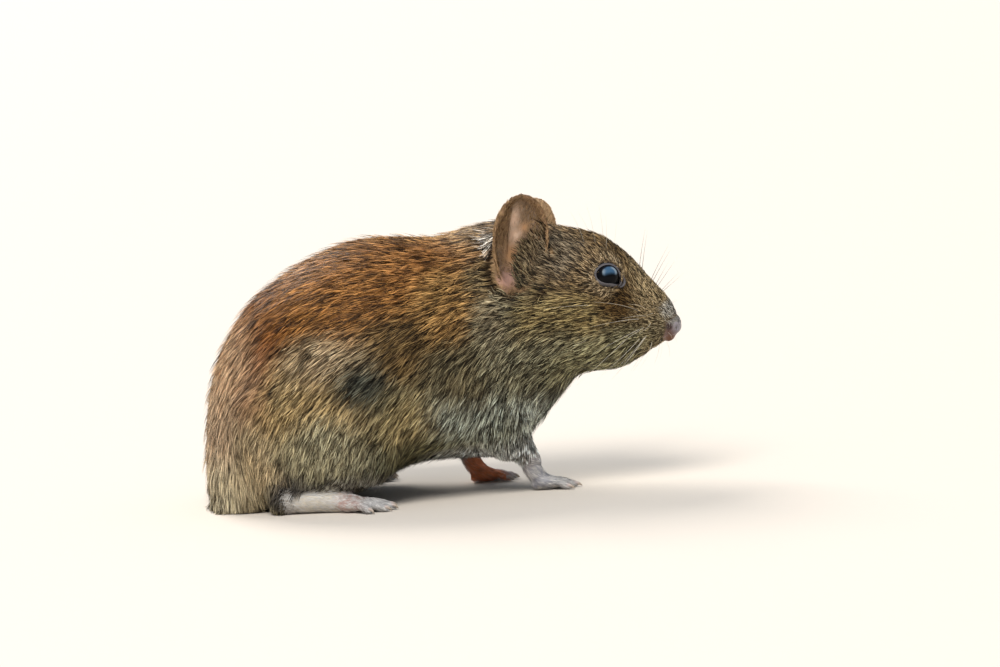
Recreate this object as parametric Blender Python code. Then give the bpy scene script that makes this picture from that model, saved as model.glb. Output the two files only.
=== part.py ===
"""A life-size bank vole, sitting hunched with all four feet on the floor, as a museum model.

The animal faces +X with its left side towards +Y, and the floor is z = 0. It is shaped in millimetres in
its own frame, where the plane y = 0 halves the trunk, then moved so that the origin is the middle of its
footprint, and scaled to metres. The trunk, neck, head and upper legs are fused into one smooth body, which
thin cuts then part. Paws, feet, tail, ears, nose and eyes are shaped apart and let into it.
"""

import math
from typing import NamedTuple

import bmesh
import bpy
import numpy as np
from mathutils import Euler, Matrix, Vector

MM = 0.001
GAP = 0.3
TINY = 0.004
RIGHT, LEFT = -1, 1
SIDE_NAMES = {RIGHT: "right", LEFT: "left"}

# The head is held a little towards the animal's right, with the right ear higher
HEAD_PIVOT = Vector((12.0, 0.0, 29.0))
HEAD_YAW = math.radians(-8.0)
HEAD_ROLL = math.radians(-6.0)

# Sizes of the parts that are let into the body
EYE_CENTRE = (30.4, 6.2, 31.8)
EYE_LOOKS = (0.40, 0.88, 0.22)
EYE_RADIUS = 2.15
LID_RADII = (3.15, 3.0, 2.25)
EYE_OPENING = (2.02, 1.80)
EYE_CORNER = 0.24
EYE_CORNER_ANGLE = math.radians(-45.0)

EAR_CENTRES = {RIGHT: (18.0, 10.3, 37.7), LEFT: (17.0, 10.3, 36.9)}
EAR_UP = (0.12, 0.19, 0.974)
EAR_LOOKS = (0.42, 0.90, 0.02)
EAR_HALF_LENGTH = 7.5
EAR_HALF_WIDTH = 4.5
EAR_CUP_DEPTH = 3.1
EAR_THICKNESS = 0.65
EAR_EGG = 0.10
EAR_REAR_CURL = 1.1
EAR_ROOT_DEPTH = 4.7
EAR_ROOT_DROP = 3.6
EAR_ROOT_RADII = (5.0, 3.4, 4.7)

NOSE_CENTRE = (39.35, 0.0, 23.8)
NOSE_RADII = (1.5, 1.75, 2.0)
NOSTRIL_CENTRE = (40.15, 1.3, 23.5)
NOSTRIL_RADII = (1.0, 0.42, 0.55)

# The line of the mouth from under the nose back to its corner, as x and z, and the lips along it
MOUTH_LINE = ((37.3, 21.5), (36.1, 21.05), (34.9, 20.8), (33.8, 20.8), (32.9, 21.1))
MOUTH_FRONT = (38.4, 0.0, 21.8)
MOUTH_GROOVE_RADIUS = 0.36
LIP_RADIUS = 0.75
LIP_SPREAD = 0.66
LIP_DEPTH = 0.5
LIP_TAPER = (0.45, 0.8)

TAIL_ROOT_RADIUS = 1.75
TAIL_TIP_RADIUS = 0.5
TAIL_ROUTE = (
    (-29.5, 0.5, 4.2),
    (-32.4, 4.5, 2.9),
    (-33.4, 9.5, 1.9),
    (-32.4, 15.0, 1.45),
    (-29.0, 20.3, 1.3),
    (-23.6, 24.2, 1.15),
    (-17.2, 25.8, 1.0),
    (-11.4, 24.8, 0.8),
    (-8.0, 22.8, 0.6),
)
TAIL_CUTS = (0.40, 0.70)

BODY_VOXEL = 0.5
BODY_SMOOTHING = 14
BODY_TRIANGLES = 3400
SHARPEST_FOLD = math.radians(60.0)
UNFOLDING_ROUNDS = 8
PAW_VOXEL = 0.24
PAW_SMOOTHING = 5


class Station(NamedTuple):
    """One ring of the trunk: its back and belly points as x and z, its half width, how much wider it is
    at the belly than at the back, and its share of the head's turn."""

    back: tuple
    belly: tuple
    half_width: float
    pear: float
    head_share: float


SPINE = {
    "seat": Station((-34.9, 2.6), (-29.5, -1.9), 9.2, 0.05, 0.0),
    "buttocks": Station((-34.2, 9.6), (-24.0, -1.4), 11.8, 0.12, 0.0),
    "hips": Station((-33.1, 17.6), (-16.5, 0.2), 14.6, 0.15, 0.0),
    "croup": Station((-30.5, 24.8), (-9.8, 2.2), 17.0, 0.12, 0.0),
    "loin": Station((-25.3, 31.9), (-5.2, 4.0), 18.2, 0.12, 0.0),
    "waist": Station((-17.6, 36.9), (-1.8, 5.3), 18.4, 0.12, 0.0),
    "ribs": Station((-9.6, 39.9), (2.0, 5.6), 17.6, 0.12, 0.0),
    "chest": Station((-2.2, 40.1), (7.0, 5.3), 16.2, 0.10, 0.0),
    "shoulders": Station((4.4, 39.8), (12.6, 5.4), 14.4, 0.08, 0.25),
    "withers": Station((9.0, 40.9), (16.3, 8.3), 12.8, 0.05, 0.6),
    "nape": Station((13.6, 41.7), (21.0, 12.8), 11.6, 0.08, 0.9),
    "crown": Station((19.0, 41.2), (24.6, 16.8), 10.9, 0.15, 1.0),
    "cheeks": Station((24.8, 39.7), (28.0, 17.0), 10.6, 0.20, 1.0),
    "eyes": Station((29.6, 38.2), (31.6, 17.6), 9.2, 0.22, 1.0),
    "stop": Station((33.4, 35.1), (34.4, 19.1), 6.5, 0.24, 1.0),
    "muzzle": Station((36.8, 31.1), (36.9, 20.6), 4.1, 0.20, 1.0),
    "nose root": Station((39.3, 28.1), (38.6, 21.6), 2.7, 0.10, 1.0),
    "nose end": Station((40.4, 26.2), (39.5, 22.5), 1.8, 0.0, 1.0),
}
TAIL_END_POLE = (-33.6, -0.6)
NOSE_END_POLE = (40.5, 24.2)
RINGS_PER_STATION = 6
RING_SIDES = 56
RING_SQUARENESS = 2.2


class Digit(NamedTuple):
    """A toe: how far to the side of the paw's middle it starts, its direction in degrees, and its length."""

    aside: float
    turn: float
    length: float


FORE_DIGITS = (
    Digit(-1.35, -42.0, 2.3),
    Digit(-0.50, -12.0, 3.3),
    Digit(0.45, 8.0, 3.5),
    Digit(1.25, 34.0, 2.5),
)
HIND_DIGITS = (
    Digit(-1.75, -38.0, 2.7),
    Digit(-0.95, -14.0, 4.6),
    Digit(0.0, -2.0, 5.1),
    Digit(0.95, 10.0, 4.7),
    Digit(1.70, 34.0, 3.1),
)

PALETTE = {
    "coat": ((0.36, 0.21, 0.10), 0.85),
    "skin": ((0.72, 0.52, 0.47), 0.55),
    "nose": ((0.46, 0.27, 0.24), 0.40),
    "eye": ((0.012, 0.011, 0.013), 0.06),
    "tail": ((0.30, 0.22, 0.16), 0.80),
}


def clear_scene():
    for obj in list(bpy.data.objects):
        bpy.data.objects.remove(obj)


def material(name):
    found = bpy.data.materials.get(name)
    if found:
        return found
    colour, roughness = PALETTE[name]
    made = bpy.data.materials.new(name)
    made.use_nodes = True
    shader = made.node_tree.nodes["Principled BSDF"]
    shader.inputs["Base Color"].default_value = (*colour, 1.0)
    shader.inputs["Roughness"].default_value = roughness
    made.diffuse_color = (*colour, 1.0)
    return made


def mesh_object(name, points, faces):
    mesh = bpy.data.meshes.new(name)
    mesh.from_pydata([tuple(p) for p in points], [], faces)
    mesh.validate()
    obj = bpy.data.objects.new(name, mesh)
    bpy.context.scene.collection.objects.link(obj)
    face_outwards(obj)
    return obj


def face_outwards(obj):
    form = bmesh.new()
    form.from_mesh(obj.data)
    bmesh.ops.recalc_face_normals(form, faces=form.faces)
    form.to_mesh(obj.data)
    form.free()


def apply_modifiers(obj):
    bpy.context.view_layer.update()
    graph = bpy.context.evaluated_depsgraph_get()
    mesh = bpy.data.meshes.new_from_object(obj.evaluated_get(graph))
    obj.modifiers.clear()
    obj.data = mesh
    return obj


def joined(name, pieces):
    """The pieces as one object, still overlapping."""
    form = bmesh.new()
    for piece in pieces:
        form.from_mesh(piece.data)
        bpy.data.objects.remove(piece)
    mesh = bpy.data.meshes.new(name)
    form.to_mesh(mesh)
    form.free()
    obj = bpy.data.objects.new(name, mesh)
    bpy.context.scene.collection.objects.link(obj)
    return obj


def fused(name, pieces, voxel, smoothing, triangles=None):
    """One smooth closed skin round overlapping pieces, thinned to about the given number of triangles."""
    obj = joined(name, pieces)
    skin = obj.modifiers.new("skin", "REMESH")
    skin.mode = "VOXEL"
    skin.voxel_size = voxel
    blend = obj.modifiers.new("blend", "SMOOTH")
    blend.factor = 0.5
    blend.iterations = smoothing
    apply_modifiers(obj)
    if triangles:
        thinned(obj, triangles)
    return obj


def thinned(obj, triangles):
    obj.data.calc_loop_triangles()
    thin = obj.modifiers.new("thin", "DECIMATE")
    thin.ratio = min(1.0, triangles / len(obj.data.loop_triangles))
    thin.use_collapse_triangulate = True
    return apply_modifiers(obj)


def copy_of(obj, name):
    twin = obj.copy()
    twin.data = obj.data.copy()
    twin.name = name
    bpy.context.scene.collection.objects.link(twin)
    return twin


def unfolded(obj):
    """Evens out the corners of any face that the thinning has folded sharply against a neighbour."""
    form = bmesh.new()
    form.from_mesh(obj.data)
    for _ in range(UNFOLDING_ROUNDS):
        corners = set()
        for edge in form.edges:
            if edge.calc_face_angle(0.0) > SHARPEST_FOLD:
                corners.update(vert for face in edge.link_faces for vert in face.verts)
        if not corners:
            break
        bmesh.ops.smooth_vert(
            form, verts=sorted(corners, key=lambda v: v.index), factor=0.5, use_axis_x=True, use_axis_y=True,
            use_axis_z=True
        )
        form.normal_update()
    form.to_mesh(obj.data)
    form.free()
    return obj


def shaped(obj, others, operation):
    """obj cut by, joined to or kept inside each of the others, which stay in the scene."""
    for other in others:
        step = obj.modifiers.new(operation.lower(), "BOOLEAN")
        step.operation = operation
        step.solver = "EXACT"
        step.object = other
        apply_modifiers(obj)
    return obj


def cut(obj, cutters):
    return largest_piece(shaped(obj, cutters, "DIFFERENCE"))


def within(obj, region):
    return largest_piece(shaped(obj, [region], "INTERSECT"))


def largest_piece(obj):
    """Keeps the closed surface that holds the most, and drops any scrap of a cut."""
    form = bmesh.new()
    form.from_mesh(obj.data)
    form.faces.ensure_lookup_table()
    left = set(form.faces)
    islands = []
    while left:
        island, edge = set(), [next(iter(left))]
        while edge:
            face = edge.pop()
            if face not in left:
                continue
            left.discard(face)
            island.add(face)
            edge.extend(other for side in face.edges for other in side.link_faces if other in left)
        islands.append(island)
    islands.sort(key=lambda island: sum(face.calc_area() for face in island), reverse=True)
    scraps = [face for island in islands[1:] for face in island]
    bmesh.ops.delete(form, geom=scraps, context="FACES")
    form.to_mesh(obj.data)
    form.free()
    return obj


def tidied(obj):
    """Triangles only, with no two corners closer than can matter and no slivers."""
    form = bmesh.new()
    form.from_mesh(obj.data)
    bmesh.ops.triangulate(form, faces=form.faces)
    bmesh.ops.remove_doubles(form, verts=form.verts, dist=TINY)
    bmesh.ops.dissolve_degenerate(form, edges=form.edges, dist=TINY)
    bmesh.ops.triangulate(form, faces=form.faces)
    form.to_mesh(obj.data)
    form.free()
    return obj


def remove(objects):
    for obj in objects:
        bpy.data.objects.remove(obj)


def head_pose(share=1.0):
    """The turn of the head about the neck, or a share of it."""
    turn = Matrix.Rotation(share * HEAD_YAW, 4, "Z") @ Matrix.Rotation(share * HEAD_ROLL, 4, "X")
    return Matrix.Translation(HEAD_PIVOT) @ turn @ Matrix.Translation(-HEAD_PIVOT)


def on_side(point, side):
    """A point given for the left side, on the side asked for."""
    return Vector((point[0], point[1] * side, point[2]))


def ellipsoid(name, centre, radii, turn=(0.0, 0.0, 0.0), sides=24, pose=None):
    """A ball stretched to its radii and turned by degrees about X, Y and Z."""
    form = bmesh.new()
    bmesh.ops.create_uvsphere(form, u_segments=sides, v_segments=sides * 2 // 3, radius=1.0)
    euler = Euler([math.radians(angle) for angle in turn])
    place = Matrix.Translation(centre) @ euler.to_matrix().to_4x4() @ Matrix.Diagonal((*radii, 1.0))
    form.transform(pose @ place if pose else place)
    mesh = bpy.data.meshes.new(name)
    form.to_mesh(mesh)
    form.free()
    obj = bpy.data.objects.new(name, mesh)
    bpy.context.scene.collection.objects.link(obj)
    return obj


def smooth_route(points, per_span):
    """Points along a smooth curve through the given ones, which may hold any number of columns."""
    rows = np.array(points, float)
    rows = np.vstack([2 * rows[0] - rows[1], rows, 2 * rows[-1] - rows[-2]])
    found = []
    for i in range(1, len(rows) - 2):
        before, start, end, after = rows[i - 1 : i + 3]
        for t in np.arange(per_span) / per_span:
            found.append(
                0.5
                * (
                    2 * start
                    + (end - before) * t
                    + (2 * before - 5 * start + 4 * end - after) * t**2
                    + (3 * start - before - 3 * end + after) * t**3
                )
            )
    return np.array([*found, rows[-2]])


def rings_to_object(name, rings, first_pole, last_pole):
    """A closed skin over rings of points, with a pole at each end."""
    sides = len(rings[0])
    points = [first_pole, *(point for ring in rings for point in ring), last_pole]
    faces = []
    for j in range(sides):
        k = (j + 1) % sides
        faces.append((0, 1 + k, 1 + j))
        faces.append((len(points) - 1, len(points) - 1 - sides + j, len(points) - 1 - sides + k))
        for i in range(len(rings) - 1):
            low, high = 1 + i * sides, 1 + (i + 1) * sides
            faces.append((low + j, low + k, high + k, high + j))
    return mesh_object(name, points, faces)


def limb(name, points, radii, sides=14, per_span=5, grow=0.0):
    """A tapering round limb along a smooth route, with rounded ends."""
    rows = smooth_route([(*point, radius) for point, radius in zip(points, radii, strict=True)], per_span)
    route, girth = rows[:, :3], rows[:, 3] + grow
    along = np.gradient(route, axis=0)
    along /= np.linalg.norm(along, axis=1)[:, None]
    stations = [(route[0], along[0], girth[0], back) for back in (-0.95, -0.7, -0.38)]
    stations += [(route[i], along[i], girth[i], 0.0) for i in range(len(route))]
    stations += [(route[-1], along[-1], girth[-1], ahead) for ahead in (0.38, 0.7, 0.95)]
    rings = []
    for middle, direction, radius, shift in stations:
        upright = Vector(direction).to_track_quat("Z", "Y")
        reach = radius * math.sqrt(1.0 - shift**2)
        turns = [2 * math.pi * j / sides for j in range(sides)]
        rings.append(
            [
                Vector(middle)
                + upright @ Vector((reach * math.cos(a), reach * math.sin(a), shift * radius))
                for a in turns
            ]
        )
    first = Vector(route[0]) - Vector(along[0]) * float(girth[0])
    last = Vector(route[-1]) + Vector(along[-1]) * float(girth[-1])
    return rings_to_object(name, rings, first, last)


def trunk():
    """The trunk, neck and head as rings round the spine, the head turned by its share."""
    rows = [
        (*place.back, *place.belly, place.half_width, place.pear, place.head_share)
        for place in SPINE.values()
    ]
    rings = []
    for row in smooth_route(rows, RINGS_PER_STATION):
        back, belly = Vector((row[0], 0, row[1])), Vector((row[2], 0, row[3]))
        half_width, pear, share = row[4:]
        middle, up = (back + belly) / 2, (back - belly) / 2
        pose = head_pose(min(max(share, 0.0), 1.0))
        ring = []
        for j in range(RING_SIDES):
            angle = 2 * math.pi * j / RING_SIDES
            rise, aside = math.cos(angle), math.sin(angle)
            rise = math.copysign(abs(rise) ** (2 / RING_SQUARENESS), rise)
            aside = math.copysign(abs(aside) ** (2 / RING_SQUARENESS), aside)
            wide = half_width * aside * (1 - pear * rise)
            ring.append(pose @ (middle + up * rise + Vector((0, wide, 0))))
        rings.append(ring)
    first = Vector((TAIL_END_POLE[0], 0, TAIL_END_POLE[1]))
    last = head_pose() @ Vector((NOSE_END_POLE[0], 0, NOSE_END_POLE[1]))
    return rings_to_object("trunk", rings, first, last)


def reach_back(side):
    """How far the forepaw on this side is set back: the left one stands well behind the right one."""
    return 0.0 if side == RIGHT else -9.3


def muscles(side):
    """The haunch, the knee, the shoulder and the upper arm on one side."""
    elbow = 11.5 + reach_back(side) * 0.4
    return [
        ellipsoid("haunch", on_side((-17.5, 11.6, 12.0), side), (13.4, 7.0, 9.8), (0, 22, 0)),
        ellipsoid("knee", on_side((-9.5, 13.0, 9.5), side), (6.0, 4.4, 5.6), (0, 35, 0)),
        ellipsoid("shoulder", on_side((9.5, 9.4, 20.0), side), (6.6, 4.6, 8.8), (0, 12, 0)),
        ellipsoid("upper_arm", on_side((elbow, 9.2, 11.5), side), (4.6, 3.6, 6.4), (0, -14, 0)),
    ]


def forearm(side):
    reach = reach_back(side)
    points = [
        on_side((13.0 + reach * 0.7, 8.6, 10.0), side),
        on_side((15.0 + reach, 7.8, 6.4), side),
        on_side((16.0 + reach, 7.2, 4.4), side),
    ]
    return limb("forearm", points, (2.9, 2.2, 1.75))


def face_forms(side):
    """The whisker pad, the cheek, the temple and the root of the ear on one side of the head."""
    pose = head_pose()
    centre, up, looks, _ = ear_axes(side)
    ear_root = centre - looks * EAR_ROOT_DEPTH - up * EAR_ROOT_DROP
    return [
        ellipsoid("whisker_pad", on_side((36.6, 2.9, 23.7), side), (2.8, 2.6, 2.8), pose=pose),
        ellipsoid("cheek", on_side((25.5, 6.2, 23.2), side), (5.6, 4.6, 5.2), pose=pose),
        ellipsoid("temple", on_side((27.6, 4.6, 33.2), side), (5.4, 4.0, 4.2), (0, 24, 0), pose=pose),
        ellipsoid("ear_root", ear_root, EAR_ROOT_RADII, pose=pose),
    ]


def eye_axes(side):
    """The eye's centre and its ways forward, up and out, in the head's own frame."""
    looks = on_side(EYE_LOOKS, side).normalized()
    up = (Vector((0, 0, 1)) - looks * looks.z).normalized()
    ahead = up.cross(looks)
    ahead = ahead if ahead.x > 0 else -ahead
    return on_side(EYE_CENTRE, side), ahead, up, looks


def lids(side):
    """The eyelids as a low dome round the eye, before the socket and the opening are cut."""
    centre, ahead, up, looks = eye_axes(side)
    dome = ellipsoid("lids", (0, 0, 0), LID_RADII, sides=21)
    place = Matrix((ahead, up, looks)).transposed().to_4x4()
    dome.data.transform(head_pose() @ Matrix.Translation(centre) @ place)
    face_outwards(dome)
    return dome


def eye_opening(side):
    """What the lids leave open: an almond with its corner towards the nose, which widens outwards."""
    centre, ahead, up, looks = eye_axes(side)
    wide, high = EYE_OPENING
    around = 22
    rings = []
    for depth, flare in ((0.6, 1.0), (1.5, 1.0), (4.0, 1.35)):
        ring = []
        for i in range(around):
            angle = 2 * math.pi * i / around
            reach = flare * (1 + EYE_CORNER * max(0.0, math.cos(angle - EYE_CORNER_ANGLE)) ** 8)
            away = ahead * wide * reach * math.cos(angle) + up * high * reach * math.sin(angle)
            ring.append(head_pose() @ (centre + away + looks * depth))
        rings.append(ring)
    poles = [head_pose() @ (centre + looks * depth) for depth in (0.6, 4.0)]
    return rings_to_object("eye_opening", rings, *poles)


def mouth_route(body, rise=0.0, setback=0.0, depth=0.0):
    """The line of the mouth on the body's surface, or one that runs a little above, below or inside it."""
    step = Vector((-setback, 0, rise))

    def sunk(near):
        _, place, out, _ = body.closest_point_on_mesh(near)
        return place - out * depth

    front = sunk(head_pose() @ (Vector(MOUTH_FRONT) + step))
    halves = {}
    for side in SIDE_NAMES:
        halves[side] = [
            sunk(head_pose() @ (Vector((x, side * (MOUTH_FRONT[0] - x) * 1.2, z)) + step))
            for x, z in MOUTH_LINE
        ]
    return [*reversed(halves[RIGHT]), front, *halves[LEFT]]


def whole_body():
    """The fused body, with its eyelids, its lips and the line between them."""
    pieces = [trunk()]
    pieces.append(ellipsoid("chin", (33.6, 0, 20.8), (3.5, 2.8, 2.0), (0, -16, 0), pose=head_pose()))
    for side in SIDE_NAMES:
        pieces += [*muscles(side), forearm(side), *face_forms(side)]
    body = unfolded(fused("body", pieces, BODY_VOXEL, BODY_SMOOTHING, BODY_TRIANGLES))
    groove_route = mouth_route(body)
    lips = []
    for rise, setback in ((LIP_SPREAD, 0.0), (-LIP_SPREAD, LIP_SPREAD)):
        route = mouth_route(body, rise, setback, LIP_DEPTH)
        full = [1.0] * (len(route) - 2 * len(LIP_TAPER))
        radii = [LIP_RADIUS * share for share in (*LIP_TAPER, *full, *reversed(LIP_TAPER))]
        lips.append(limb("lip", route, radii, 10, 2))
    added = [lids(side) for side in SIDE_NAMES] + lips
    shaped(body, added, "UNION")
    groove = limb("mouth_groove", groove_route, (MOUTH_GROOVE_RADIUS,) * len(groove_route), 6, 2)
    cut(body, [groove])
    remove([*added, groove])
    return body


def floor_block():
    """Everything under the floor, for cutting small flats at z = 0."""
    form = bmesh.new()
    bmesh.ops.create_cube(form, size=1.0)
    form.transform(Matrix.Translation((0, 0, -10.0)) @ Matrix.Diagonal((200.0, 200.0, 20.0, 1.0)))
    mesh = bpy.data.meshes.new("floor_block")
    form.to_mesh(mesh)
    form.free()
    obj = bpy.data.objects.new("floor_block", mesh)
    bpy.context.scene.collection.objects.link(obj)
    return obj


def beyond_plane(name, point, ahead, offset):
    """A block that fills the space beyond a plane, which the offset moves along the way ahead."""
    form = bmesh.new()
    bmesh.ops.create_cube(form, size=1.0)
    size = 160.0
    form.transform(Matrix.Diagonal((size, size, size, 1.0)))
    form.transform(Matrix.Translation((0, 0, size / 2)))
    turn = ahead.to_track_quat("Z", "Y").to_matrix().to_4x4()
    form.transform(Matrix.Translation(point + ahead * offset) @ turn)
    mesh = bpy.data.meshes.new(name)
    form.to_mesh(mesh)
    form.free()
    obj = bpy.data.objects.new(name, mesh)
    bpy.context.scene.collection.objects.link(obj)
    return obj


def plane_between(top, bottom, share):
    """The point and forward direction of the cut that runs from a back point to a belly point."""
    top, bottom = Vector((top[0], 0, top[1])), Vector((bottom[0], 0, bottom[1]))
    down = (bottom - top).normalized()
    ahead = Vector((0, 1, 0)).cross(down)
    ahead = ahead if ahead.x > 0 else -ahead
    pose = head_pose(share)
    return pose @ ((top + bottom) / 2), (pose.to_3x3() @ ahead).normalized()


def hindleg_region(side, grow):
    thigh = tuple(radius + grow for radius in (14.6, 9.6, 12.4))
    return ellipsoid("hindleg_region", on_side((-17.0, 15.6, 13.0), side), thigh, (0, 22, 0), 18)


def foreleg_region(side, grow):
    reach = reach_back(side)
    shoulder = tuple(radius + grow for radius in (6.8, 6.6, 11.5))
    lower = tuple(radius + grow for radius in (4.2, 4.0, 6.6))
    upper = ellipsoid("upper", on_side((10.4 + reach * 0.25, 12.2, 17.0), side), shoulder, (0, 8, 0), 15)
    forearm_part = ellipsoid("lower", on_side((14.0 + reach, 8.2, 6.6), side), lower, (0, -14, 0), 15)
    shaped(upper, [forearm_part], "UNION")
    remove([forearm_part])
    return upper


def digits(middle, heading, side, toes, thickness, knuckle, grow):
    """The toes of a paw with their claws, fanned round its heading."""
    pieces = []
    for toe in toes:
        turn = heading + math.radians(toe.turn * side)
        ahead = Vector((math.cos(turn), math.sin(turn), 0))
        across = Vector((-math.sin(heading), math.cos(heading), 0))
        start = middle + across * toe.aside * side
        start.z = knuckle * 0.9
        bend = start + ahead * toe.length * 0.5
        bend.z = knuckle
        tip = start + ahead * toe.length
        tip.z = thickness * 0.85
        claw_tip = tip + ahead * 1.25
        claw_tip.z = 0.15
        claw_top = tip + ahead * 0.5
        claw_top.z = tip.z + 0.12
        girth = (thickness * 1.12, thickness, thickness * 0.95)
        pieces.append(limb("toe", (start, bend, tip), girth, 12, 4, grow))
        pieces.append(limb("claw", (tip, claw_top, claw_tip), (0.42, 0.36, 0.12), 8, 3, grow))
    return pieces


def forepaw_pieces(side, grow=0.0):
    reach = reach_back(side)
    heading = math.radians(9.0 if side == RIGHT else 20.0)
    wrist = on_side((15.5 + reach, 7.3, 5.0), side)
    palm = on_side((17.7 + reach, 6.9, 1.25), side)
    ahead = Vector((math.cos(heading), math.sin(heading), 0))
    heel = palm - ahead * 1.3 - Vector((0, 0, 0.35))
    pieces = [
        limb("wrist", (wrist, (wrist + palm) / 2 - ahead * 0.4, palm), (1.45, 1.45, 1.2), 12, 4, grow),
        ellipsoid("palm", palm + ahead * 0.3, (2.0 + grow, 1.95 + grow, 1.15 + grow), (0, 8, 0)),
        ellipsoid("heel_pad", heel, (0.9 + grow, 1.1 + grow, 0.8 + grow)),
    ]
    return pieces + digits(palm + ahead * 1.0, heading, side, FORE_DIGITS, 0.6, 1.15, grow)


def hindfoot_pieces(side, grow=0.0):
    heading = math.radians(14.0 * side)
    ahead = Vector((math.cos(heading), math.sin(heading), 0))
    heel = on_side((-21.8, 13.6, 2.0), side)
    middle = heel + ahead * 5.6 - Vector((0, 0, 0.25))
    ball = heel + ahead * 10.0
    ball.z = 1.25
    ankle = on_side((-22.4, 12.9, 5.2), side)
    pieces = [
        ellipsoid("heel", heel, (2.5 + grow, 1.95 + grow, 2.15 + grow)),
        limb("ankle", (ankle, heel), (1.9, 1.8), 14, 4, grow),
        limb("sole", (heel, middle, ball), (1.9, 1.6, 1.45), 16, 5, grow),
        ellipsoid("ball", ball, (2.1 + grow, 2.5 + grow, 1.35 + grow), (0, 0, math.degrees(heading))),
    ]
    return pieces + digits(ball + ahead * 1.0, heading, side, HIND_DIGITS, 0.72, 1.25, grow)


def tail_route():
    """The tail's smooth middle line with its radius, tapering from root to tip."""
    route = smooth_route(TAIL_ROUTE, 6)
    steps = np.linalg.norm(np.diff(route, axis=0), axis=1)
    share = np.concatenate([[0.0], np.cumsum(steps)]) / steps.sum()
    radius = TAIL_ROOT_RADIUS + (TAIL_TIP_RADIUS - TAIL_ROOT_RADIUS) * share**0.8
    return route, share, radius


def tail_length(name, start, end, grow=0.0):
    """The tail's stretch between two shares of its length, with flat ends half a gap short of them."""
    route, share, radius = tail_route()
    kept = np.linspace(start, end, 11)
    line = np.stack([np.interp(kept, share, route[:, axis]) for axis in range(3)], axis=1)
    girth = np.interp(kept, share, radius) + grow
    along = np.gradient(line, axis=0)
    along /= np.linalg.norm(along, axis=1)[:, None]
    if start > 0:
        line[0] += along[0] * GAP / 2
    if end < 1:
        line[-1] -= along[-1] * GAP / 2
    rings = []
    for middle, direction, reach in zip(line, along, girth, strict=True):
        upright = Vector(direction).to_track_quat("Z", "Y")
        turns = [2 * math.pi * j / 12 for j in range(12)]
        rings.append(
            [
                Vector(middle) + upright @ Vector((reach * math.cos(a), reach * math.sin(a), 0))
                for a in turns
            ]
        )
    last = Vector(line[-1])
    if end == 1:
        last += Vector(along[-1]) * float(girth[-1])
    return rings_to_object(name, rings, Vector(line[0]), last)


def ear_axes(side):
    up = on_side(EAR_UP, side).normalized()
    looks = on_side(EAR_LOOKS, side)
    looks = (looks - up * looks.dot(up)).normalized()
    ahead = looks.cross(up).normalized() * side
    return on_side(EAR_CENTRES[side], side), up, looks, ahead


def ear_point(side, reach, angle, lift):
    """A point of the ear's inner face at a share of its reach and an angle from its tip, moved out by
    the lift. The hind rim, where the sine is negative, curls outwards and forwards."""
    centre, up, looks, ahead = ear_axes(side)
    tall = EAR_HALF_LENGTH * reach * math.cos(angle)
    wide = EAR_HALF_WIDTH * reach * math.sin(angle) * (1 + EAR_EGG * math.cos(angle))
    curl = EAR_REAR_CURL * reach**3 * max(0.0, -math.sin(angle))
    deep = EAR_CUP_DEPTH * (1 - reach**2.3) - curl
    return head_pose() @ (centre + up * tall + ahead * wide + looks * (lift - deep))


EAR_REACHES = (0.25, 0.5, 0.72, 0.9, 1.0)
EAR_SIDES = 20


def ear_ring(side, reach, lift):
    return [ear_point(side, reach, 2 * math.pi * j / EAR_SIDES, lift) for j in range(EAR_SIDES)]


def ear(side):
    """The ear as a thin cup with a rounded rim."""
    inner = [ear_ring(side, reach, 0.0) for reach in EAR_REACHES]
    rim = [ear_ring(side, 1.045, -EAR_THICKNESS * 0.5)]
    outer = [ear_ring(side, reach, -EAR_THICKNESS * (1.5 - 0.5 * reach)) for reach in reversed(EAR_REACHES)]
    first, last = ear_point(side, 0.0, 0.0, 0.0), ear_point(side, 0.0, 0.0, -EAR_THICKNESS * 1.5)
    return rings_to_object(f"ear_{SIDE_NAMES[side]}", inner + rim + outer, first, last)


def ear_socket(side):
    """The room for the ear and for what its cup holds, as it is cut from the head."""
    wider = 1 + 1.6 * GAP / EAR_HALF_WIDTH
    lid = [ear_ring(side, reach * wider, 2.9) for reach in (0.5, 0.9)]
    lid += [ear_ring(side, wider * 1.02, lift) for lift in (2.2, 0.4)]
    depth = -EAR_THICKNESS - 1.5 * GAP
    outer = [ear_ring(side, wider * 1.03, -EAR_THICKNESS * 0.8)]
    outer += [ear_ring(side, reach * wider, depth * (1.3 - 0.3 * reach)) for reach in reversed(EAR_REACHES)]
    first, last = ear_point(side, 0.0, 0.0, 3.1), ear_point(side, 0.0, 0.0, depth * 1.3)
    return rings_to_object("ear_socket", lid + outer, first, last)


def eye(side, grow=0.0):
    radius = EYE_RADIUS + grow
    return ellipsoid(
        f"eye_{SIDE_NAMES[side]}", on_side(EYE_CENTRE, side), (radius,) * 3, sides=15, pose=head_pose()
    )


def nose_pieces(grow=0.0):
    pose = head_pose()
    pieces = [ellipsoid("nose_pad", NOSE_CENTRE, [r + grow for r in NOSE_RADII], (0, 12, 0), pose=pose)]
    pieces.append(
        ellipsoid("philtrum", (38.9, 0, 22.3), (1.1 + grow, 0.8 + grow, 1.2 + grow), (0, 20, 0), pose=pose)
    )
    for side in SIDE_NAMES:
        wing = on_side((39.55, 0.95, 23.6), side)
        pieces.append(ellipsoid("wing", wing, (1.35 + grow, 1.1 + grow, 1.5 + grow), pose=pose))
    return pieces


def nose():
    obj = fused("nose", nose_pieces(), 0.2, 4, 280)
    nostrils = [
        ellipsoid("nostril", on_side(NOSTRIL_CENTRE, side), NOSTRIL_RADII, (0, 35, 28 * side), 10, head_pose())
        for side in SIDE_NAMES
    ]
    cut(obj, nostrils)
    remove(nostrils)
    return obj


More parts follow.
